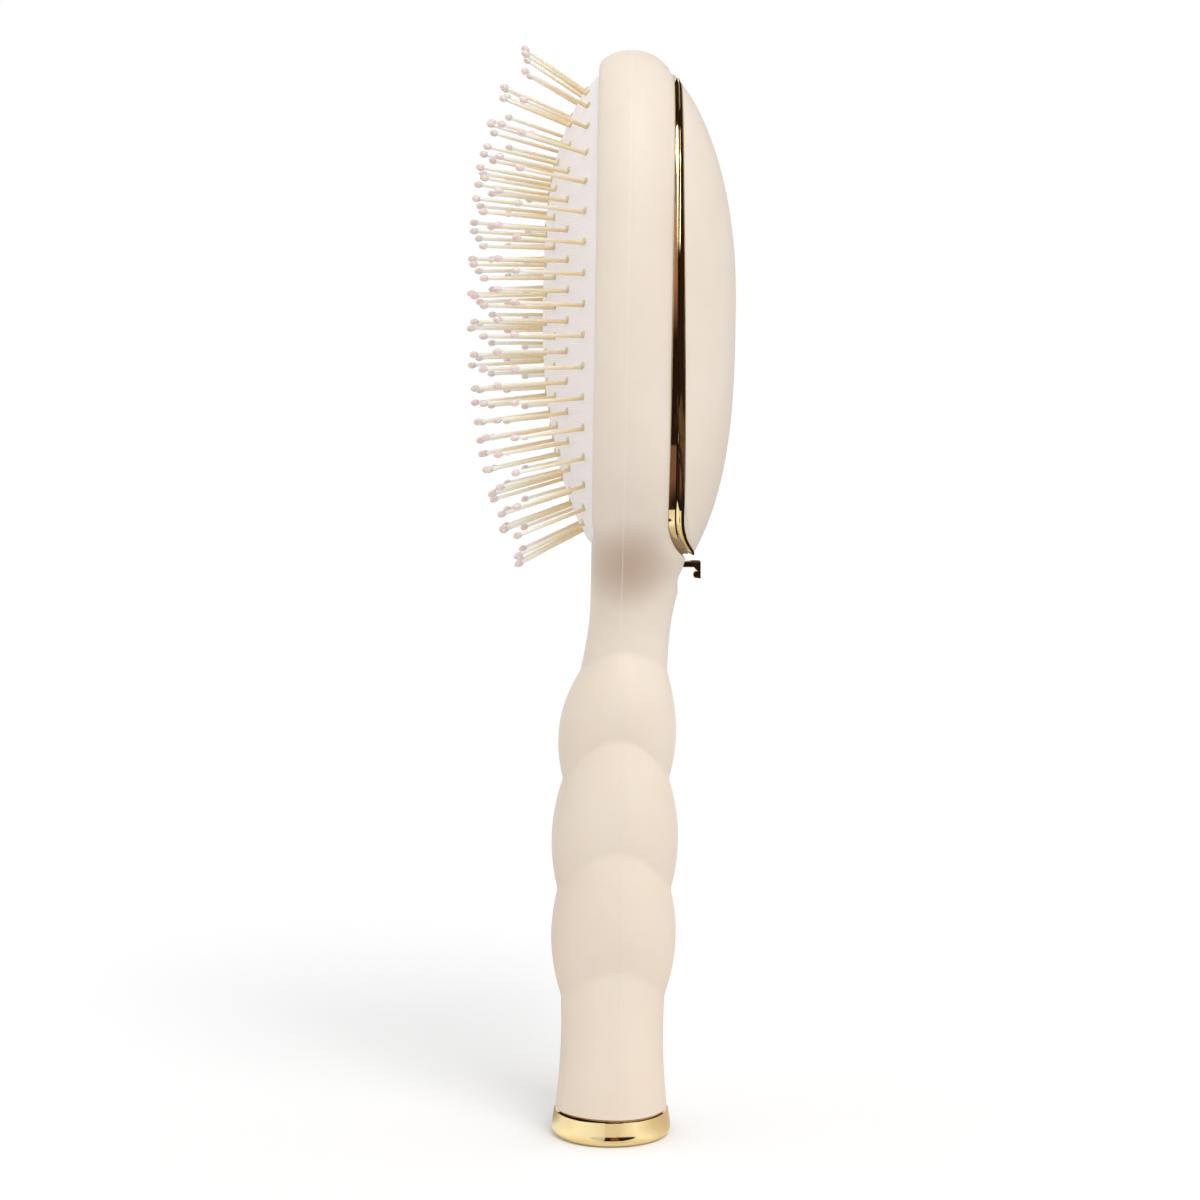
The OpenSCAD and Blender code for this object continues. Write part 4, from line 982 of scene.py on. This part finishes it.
def nodeGroup(name, numbers):
    group = bpy.data.node_groups.new(name, "GeometryNodeTree")
    group.interface.new_socket("Geometry", in_out="INPUT", socket_type="NodeSocketGeometry")
    group.interface.new_socket("Geometry", in_out="OUTPUT", socket_type="NodeSocketGeometry")
    for label in numbers:
        group.interface.new_socket(label, in_out="INPUT", socket_type="NodeSocketFloat")
    t = Tree(group)
    start, end = group.nodes.new("NodeGroupInput"), group.nodes.new("NodeGroupOutput")
    return group, t, {o.name: Sock(t, o) for o in start.outputs if o.name}, end


def pinField(spec=pins):
    feet, aims = pinFeet()
    origin = inHead(np.zeros(3))
    data = bpy.data.meshes.new("pinField")
    data.from_pydata([tuple(v) for v in inHead(feet) * mm], [], [])
    aim = data.attributes.new("aim", "FLOAT_VECTOR", "POINT")
    aim.data.foreach_set("vector", (inHead(aims) - origin).ravel())
    obj = bpy.data.objects.new("pinField", data)
    bpy.context.collection.objects.link(obj)

    values = {"Length": spec["length"], "Shaft radius": spec["radius"], "Tip radius": spec["tipR"],
              "Tip length": spec["tipLen"], "Collar radius": spec["collarR"], "Collar thickness": spec["collarT"],
              "Collar rise": spec["collarUp"], "Root": spec["root"]}
    group, t, inp, end = nodeGroup("pinNodes", values)

    def xyz(x=0.0, y=0.0, z=0.0):
        return t.node("ShaderNodeCombineXYZ", {0: x, 1: y, 2: z})

    def placed(mesh, where, size, mat):
        moved = t.node("GeometryNodeTransform", {"Geometry": mesh, "Translation": where, "Scale": size})
        _, _, up = t.parts(t.node("GeometryNodeInputPosition"))
        marked = t.node("GeometryNodeStoreNamedAttribute", {"Geometry": moved, "Name": "along",
                                                            "Value": up / inp["Length"]},
                        data_type="FLOAT", domain="POINT")
        return t.node("GeometryNodeSetMaterial", {"Geometry": marked, "Material": mats[mat]})

    rod = t.node("GeometryNodeMeshCylinder", {"Vertices": 16, "Radius": 1.0, "Depth": 1.0}, fill_type="NGON")
    ball = t.node("GeometryNodeMeshUVSphere", {"Segments": 18, "Rings": 12, "Radius": 1.0})
    run = inp["Length"] - inp["Tip length"] * 0.5 + inp["Root"]
    shaft = placed(rod, xyz(z=run * 0.5 - inp["Root"]), xyz(inp["Shaft radius"], inp["Shaft radius"], run), "nylon")
    tip = placed(ball, xyz(z=inp["Length"] - inp["Tip length"] * 0.5),
                 xyz(inp["Tip radius"], inp["Tip radius"], inp["Tip length"] * 0.5), "nylon_tip")
    collarR = inp["Collar radius"]
    collar = placed(ball, xyz(x=inp["Collar rise"]),
                    xyz(collarR, collarR * spec["collarFlat"], inp["Collar thickness"] * 0.5), "nylon")
    joined = group.nodes.new("GeometryNodeJoinGeometry")
    for part in (collar, tip, shaft):
        group.links.new(part.socket, joined.inputs[0])
    aimed = t.node("FunctionNodeAlignRotationToVector", {
        "Vector": t.node("GeometryNodeInputNamedAttribute", {"Name": "aim"}, data_type="FLOAT_VECTOR")}, axis="Z")
    field = t.node("GeometryNodeInstanceOnPoints", {"Points": inp["Geometry"], "Instance": Sock(t, joined.outputs[0]),
                                                    "Rotation": aimed})
    real = t.node("GeometryNodeRealizeInstances", {"Geometry": field})
    t.feed(end.inputs[0], t.node("GeometryNodeSetShadeSmooth", {0: real}))

    mod = obj.modifiers.new("pins", "NODES")
    mod.node_group = group
    for item in group.interface.items_tree:
        if item.in_out == "INPUT" and item.name in values:
            mod[item.identifier] = values[item.name] * mm
    bpy.context.view_layer.update()
    return applied(obj)


field = pinField()
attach(field, "brush")
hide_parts("pins_ring_outer", "pins_ring_second", "pins_ring_third", "pins_ring_fourth", "pins_row_centre")
field.data.set_sharp_from_angle(angle=math.radians(50))
print("pins", len(field.data.polygons))


# Cap under the handle
cap = {"h": 6.15, "topR": 12.95, "r": 13.4, "edge": 1.7, "wall": 1.4, "roll": 0.95, "bow": 1.5,
       "eye": 0.3, "flat": 6, "steps": 192}


def capCup(spec=cap):
    bend = np.linspace(0, math.pi / 2, 14)
    profile = [(spec["r"] - spec["edge"] * (1 - math.sin(b)), spec["edge"] * (1 - math.cos(b))) for b in bend]
    profile = [(spec["eye"], 0), (spec["flat"], 0)] + profile
    # the wall leans in towards its top edge, which rolls in under the cream
    shoulder = spec["h"] - spec["roll"]
    for u in np.linspace(0.1, 0.95, 9):
        profile.append((spec["r"] - (spec["r"] - spec["topR"]) * u ** spec["bow"], mix(spec["edge"], shoulder, u)))
    for b in bend:
        profile.append((spec["topR"] - spec["roll"] * (1 - math.cos(b)), shoulder + spec["roll"] * math.sin(b)))
    inner = spec["topR"] - spec["wall"]
    profile += [(inner, spec["h"]), (inner, spec["wall"]), (spec["eye"], spec["wall"])]
    return ringPiece("baseCap", turned(profile, spec["steps"]), poles=True)


capPiece = smooth(capCup(), 40)
dress(capPiece, "gold", "brush", "base_cap")


# Release tab
def tabForm(spec=tab):
    x, z, t, bead = spec["x"], spec["z"], spec["t"], spec["bead"]
    legX, low = x - spec["legT"], z - spec["leg"]
    foot = [(legX - spec["beadOut"] + bead + bead * math.cos(b), low + bead + bead * math.sin(b))
            for b in np.radians(np.linspace(80, 270, 12))]
    outline = [(spec["root"], z - t), (legX, z - t)] + foot + [(x, low), (x, z), (spec["root"], z)]
    n = len(outline)
    verts = [(px, y, pz) for y in (-spec["w"] / 2, spec["w"] / 2) for px, pz in outline]
    faces = [tuple(range(n)), tuple(reversed(range(n, 2 * n)))]
    faces += [(i, i + n, (i + 1) % n + n, (i + 1) % n) for i in range(n)]
    obj = outward(meshPiece("releaseTab", verts, faces))
    mod = obj.modifiers.new("edges", "BEVEL")
    mod.width, mod.segments = spec["round"] * mm, 3
    mod.limit_method, mod.angle_limit = "ANGLE", math.radians(50)
    return applied(obj)


tabPiece = smooth(tabForm(), 35)
dress(tabPiece, "gold", "release", "release_tab")
print("metal made")


# Studio
# The sun stands in front, to the right and above. The fill comes mostly from in front and above.
studio = {"sun": 1.12, "sunFrom": (0.25, -0.56, 0.79), "sunAngle": 30, "fill": 0.63, "fillFront": 0.05,
          "fillSides": 0.55, "fillLeft": -0.04, "fillHigh": 0.1, "paper": 0.945, "bounce": 0.76}


def makeSun(spec=studio):
    data = bpy.data.lights.new("sun", "SUN")
    data.energy = spec["sun"]
    data.angle = math.radians(spec["sunAngle"])
    data.cycles.use_multiple_importance_sampling = False
    obj = bpy.data.objects.new("sun", data)
    bpy.context.collection.objects.link(obj)
    obj.rotation_euler = (-Vector(spec["sunFrom"])).to_track_quat("-Z", "Y").to_euler()


def backgroundSeen(t):
    # 1 for rays that should meet the white background: camera, mirror and glass rays
    rays = t.nodes.new("ShaderNodeLightPath")
    return sum((Sock(t, rays.outputs[kind]) for kind in ("Is Glossy Ray", "Is Transmission Ray")),
               Sock(t, rays.outputs["Is Camera Ray"])).clip()


def makeWorld(spec=studio):
    world = bpy.data.worlds.new("studio")
    bpy.context.scene.world = world
    world.use_nodes = True
    t = Tree(world.node_tree)
    t.nodes.clear()
    x, y, z = t.parts(t.node("ShaderNodeTexCoord"))
    level = spec["fill"] - y * spec["fillFront"] + x.absolute() * spec["fillSides"] - x * spec["fillLeft"]
    level = level - z._math("MAXIMUM", 0) * spec["fillHigh"]
    fill = t.node("ShaderNodeBackground", {0: (1, 1, 1, 1), 1: level})
    white = t.node("ShaderNodeBackground", {0: (1, 1, 1, 1), 1: 1.0})
    out = t.nodes.new("ShaderNodeOutputWorld")
    t.feed(out.inputs[0], t.node("ShaderNodeMixShader", {0: backgroundSeen(t), 1: fill, 2: white}))


makeSun()
makeWorld()


def sheet(name, rows, look=None):
    # A sheet through rows of points
    rows = np.asarray(rows, float)
    data = bpy.data.meshes.new(name)
    data.from_pydata([tuple(v) for v in rows.reshape(-1, 3) * mm], [], gridFaces(len(rows), len(rows[0])))
    obj = bpy.data.objects.new(name, data)
    bpy.context.collection.objects.link(obj)
    data.materials.append(look)
    return obj


def stageLook(name):
    mat = bpy.data.materials.new(name)
    mat.use_nodes = True
    t = Tree(mat.node_tree)
    t.nodes.clear()
    return mat, t, t.nodes.new("ShaderNodeOutputMaterial")


def floorLook(spec=studio):
    # White paper that keeps the shadow where it is seen, and is duller to the light that bounces off it
    mat, t, end = stageLook("floorPaper")
    grain = t.noise(900, 2) * 0.01
    lit = t.node("ShaderNodeBsdfDiffuse", {0: t.colour((spec["paper"],) * 3, (1, 1, 1), grain)})
    dull = t.node("ShaderNodeBsdfDiffuse", {0: (spec["bounce"],) * 3 + (1,)})
    t.feed(end.inputs[0], t.node("ShaderNodeMixShader", {0: backgroundSeen(t), 1: dull, 2: lit}))
    return mat


floorHalf = 40000
sheet("floor", [[(x, y, 0) for x in (-floorHalf, floorHalf)] for y in (-floorHalf, floorHalf)], floorLook())

# What the gold mirrors: a dark room in front of the head and beside the lid, open below the lip, and a ring on
# the floor close round the cap
cave = {"low": 100, "nearY": -34, "farY": -250, "high": 520, "topY": -20, "left": -600, "right": 500,
        "leftX": -36, "rightX": 24, "backY": 160}


# Places in metres on the room's walls: (from, full from, full to, to)
roomGlow = {"copperX": (-0.01, 0.0, 0.028, 0.038), "copperZ": (0.17, 0.22, 0.29, 0.37),
            "copperY": (-0.118, -0.112, -0.07, -0.04), "copperLow": 0.45, "copper": (0.42, 0.22, 0.19),
            # The next places mark a bright strip that glows only in reflections: a painted highlight on the gold
            # band.
            "glintX": (0.032, 0.04, 0.052, 0.062), "glintY": (-0.27, -0.26, -0.17, -0.13),
            "glintZ": (0.235, 0.26, 0.6, 0.7), "glintLevel": 10,
            "duskX": (0.11, 0.14, 0.4, 0.5), "dusk": (0.17, 0.11, 0.075),
            "low": 0.101, "wall": (0.020, 0.010, 0.009), "wallPale": (0.06, 0.03, 0.022)}


def darkLook(name, spec=roomGlow):
    mat, t, end = stageLook(name)
    x, y, z = t.parts(t.place())

    def within(v, key):
        a, b, c, d = spec[key]
        return v.between(a, b) * (1 - v.between(c, d))

    blotch = t.noise(9, 3, 0.6, where=t.node("ShaderNodeCombineXYZ", {0: x * 14, 1: y * 3, 2: z * 1.5}))
    onFloor = 1 - z.above(spec["low"])
    copper = (within(z, "copperZ") + onFloor * within(y, "copperY") * spec["copperLow"]).clip()
    # A strip that glows only in reflections and lights nothing: a painted highlight that makes the white streak on
    # the gold band
    glint = within(x, "glintX") * within(y, "glintY") * within(z, "glintZ")
    dark = t.colour(spec["wall"], spec["wallPale"], blotch.between(0.5, 0.7))
    dark = t.colour(dark, spec["dusk"], within(x, "duskX") * onFloor * blotch.between(0.35, 0.6))
    dark = t.colour(dark, spec["copper"], within(x, "copperX") * copper * blotch.between(0.3, 0.42))
    dark = t.colour(dark, (spec["glintLevel"],) * 3, glint)
    t.feed(end.inputs[0], t.node("ShaderNodeEmission", {0: dark, 1: 1.0}))
    return mat


# Brightness round the ring in front of the cap, from the left over the back, in degrees from the camera
ringGlow = [(-180, 0.56), (-150, 0.48), (-125, 0.5), (-104, 1.0), (-67, 1.2), (-20, 1.0), (-12, 0.95), (-11, 0.86),
            (15, 0.9), (45, 1.2), (80, 0.88), (112, 0.74), (150, 0.7), (180, 0.56)]
ringSpan = {"in": 14.2, "out": 160, "z": 0.15, "steps": 96, "wallFrom": 30, "wallTo": 110}
ringWalls = [(-135, -95), (-12, 23), (52, 130)]
# The dark lens-shaped spot in the cap's reflection, in degrees and mm from the axis
darkLens = {"turn": 2, "turnHalf": 36, "away": 28, "awayHalf": 11, "cut": -9, "stripe": 5, "stripeHalf": 7,
            "dark": (0.03, 0.012, 0.010), "red": (0.22, 0.075, 0.055), "near": (1.0, 0.86, 0.72)}


def ringLook(name, lens=darkLens):
    mat, t, end = stageLook(name)
    x, y, _ = t.parts(t.place())
    angle = x._math("ARCTAN2", y * -1) * math.degrees(1)
    glow = t.node("ShaderNodeFloatCurve", {"Value": angle / 360 + 0.5})
    curve = glow.socket.node.mapping.curves[0]
    for degrees, level in ringGlow[1:-1]:
        curve.points.new(degrees / 360 + 0.5, level)
    for point, (degrees, level) in zip(curve.points, ringGlow):
        point.location = (degrees / 360 + 0.5, level)
        point.handle_type = "VECTOR"
    glow.socket.node.mapping.update()
    away = (x ** 2 + y ** 2) ** 0.5 / mm
    near = ((angle - lens["turn"]) / lens["turnHalf"]) ** 2 + ((away - lens["away"]) / lens["awayHalf"]) ** 2
    spot = (1 - near ** 0.5).between(0.0, 0.12)
    bright = t.colour(lens["near"], (1, 1, 1), glow.between(0.6, 1.1) * away.between(14, 22))
    stripe = (1 - ((angle - lens["stripe"]) / lens["stripeHalf"]).absolute()).clip()
    shade = t.colour(lens["dark"], lens["red"], stripe.between(0.0, 0.4))
    faint = angle.above(lens["cut"]) * 0.75 + 0.25
    t.feed(end.inputs[0], t.node("ShaderNodeMixShader", {
        0: spot * faint, 1: t.node("ShaderNodeEmission", {0: bright, 1: glow}),
        2: t.node("ShaderNodeEmission", {0: shade, 1: 1.0})}))
    return mat


def mirrorOnly(name, rows, look):
    card = sheet(name, rows, look)
    card.visible_camera = card.visible_diffuse = card.visible_shadow = card.visible_transmission = False


def arc(r, z, turns):
    return [(r * math.sin(a), -r * math.cos(a), z) for a in turns]


def makeCave(c=cave, ring=ringSpan):
    look = darkLook("darkRoom")
    front = [(c["nearY"], c["low"]), (c["farY"], c["low"]), (c["farY"], c["high"]), (c["topY"], c["high"])]
    beside = (c["rightX"], c["right"])
    sheets = [
        [[(x, y, z) for x in (c["left"], c["right"])] for y, z in front],
        [[(c["right"], y, z) for y in (c["farY"], c["backY"])] for z in (c["low"], c["high"])],
        [[(x, y, c["low"]) for x in beside] for y in (c["nearY"], c["backY"])],
        [[(x, y, c["low"]) for x in (c["left"], c["leftX"])] for y in (c["nearY"], c["backY"])],
        [[(x, y, c["high"]) for x in beside] for y in (c["topY"], c["backY"])],
        [[(x, c["backY"], z) for x in beside] for z in (c["low"], c["high"])],
    ]
    for i, rows in enumerate(sheets):
        mirrorOnly("darkRoom" + str(i), rows, look)
    turns = np.linspace(0, 2 * math.pi, ring["steps"] + 1)
    rows = [arc(r, z, turns) for r, z in ((ring["in"], ring["z"]), (ring["out"], ring["z"]),
                                          (ring["out"], ring["wallFrom"]))]
    mirrorOnly("capRing", rows, ringLook("capRing"))
    for i, (start, end) in enumerate(ringWalls):
        turns = np.radians(np.linspace(start, end, 12))
        rows = [arc(ring["out"], ring[key], turns) for key in ("wallFrom", "wallTo")]
        mirrorOnly("capWall" + str(i), rows, look)


makeCave()
print("studio made")
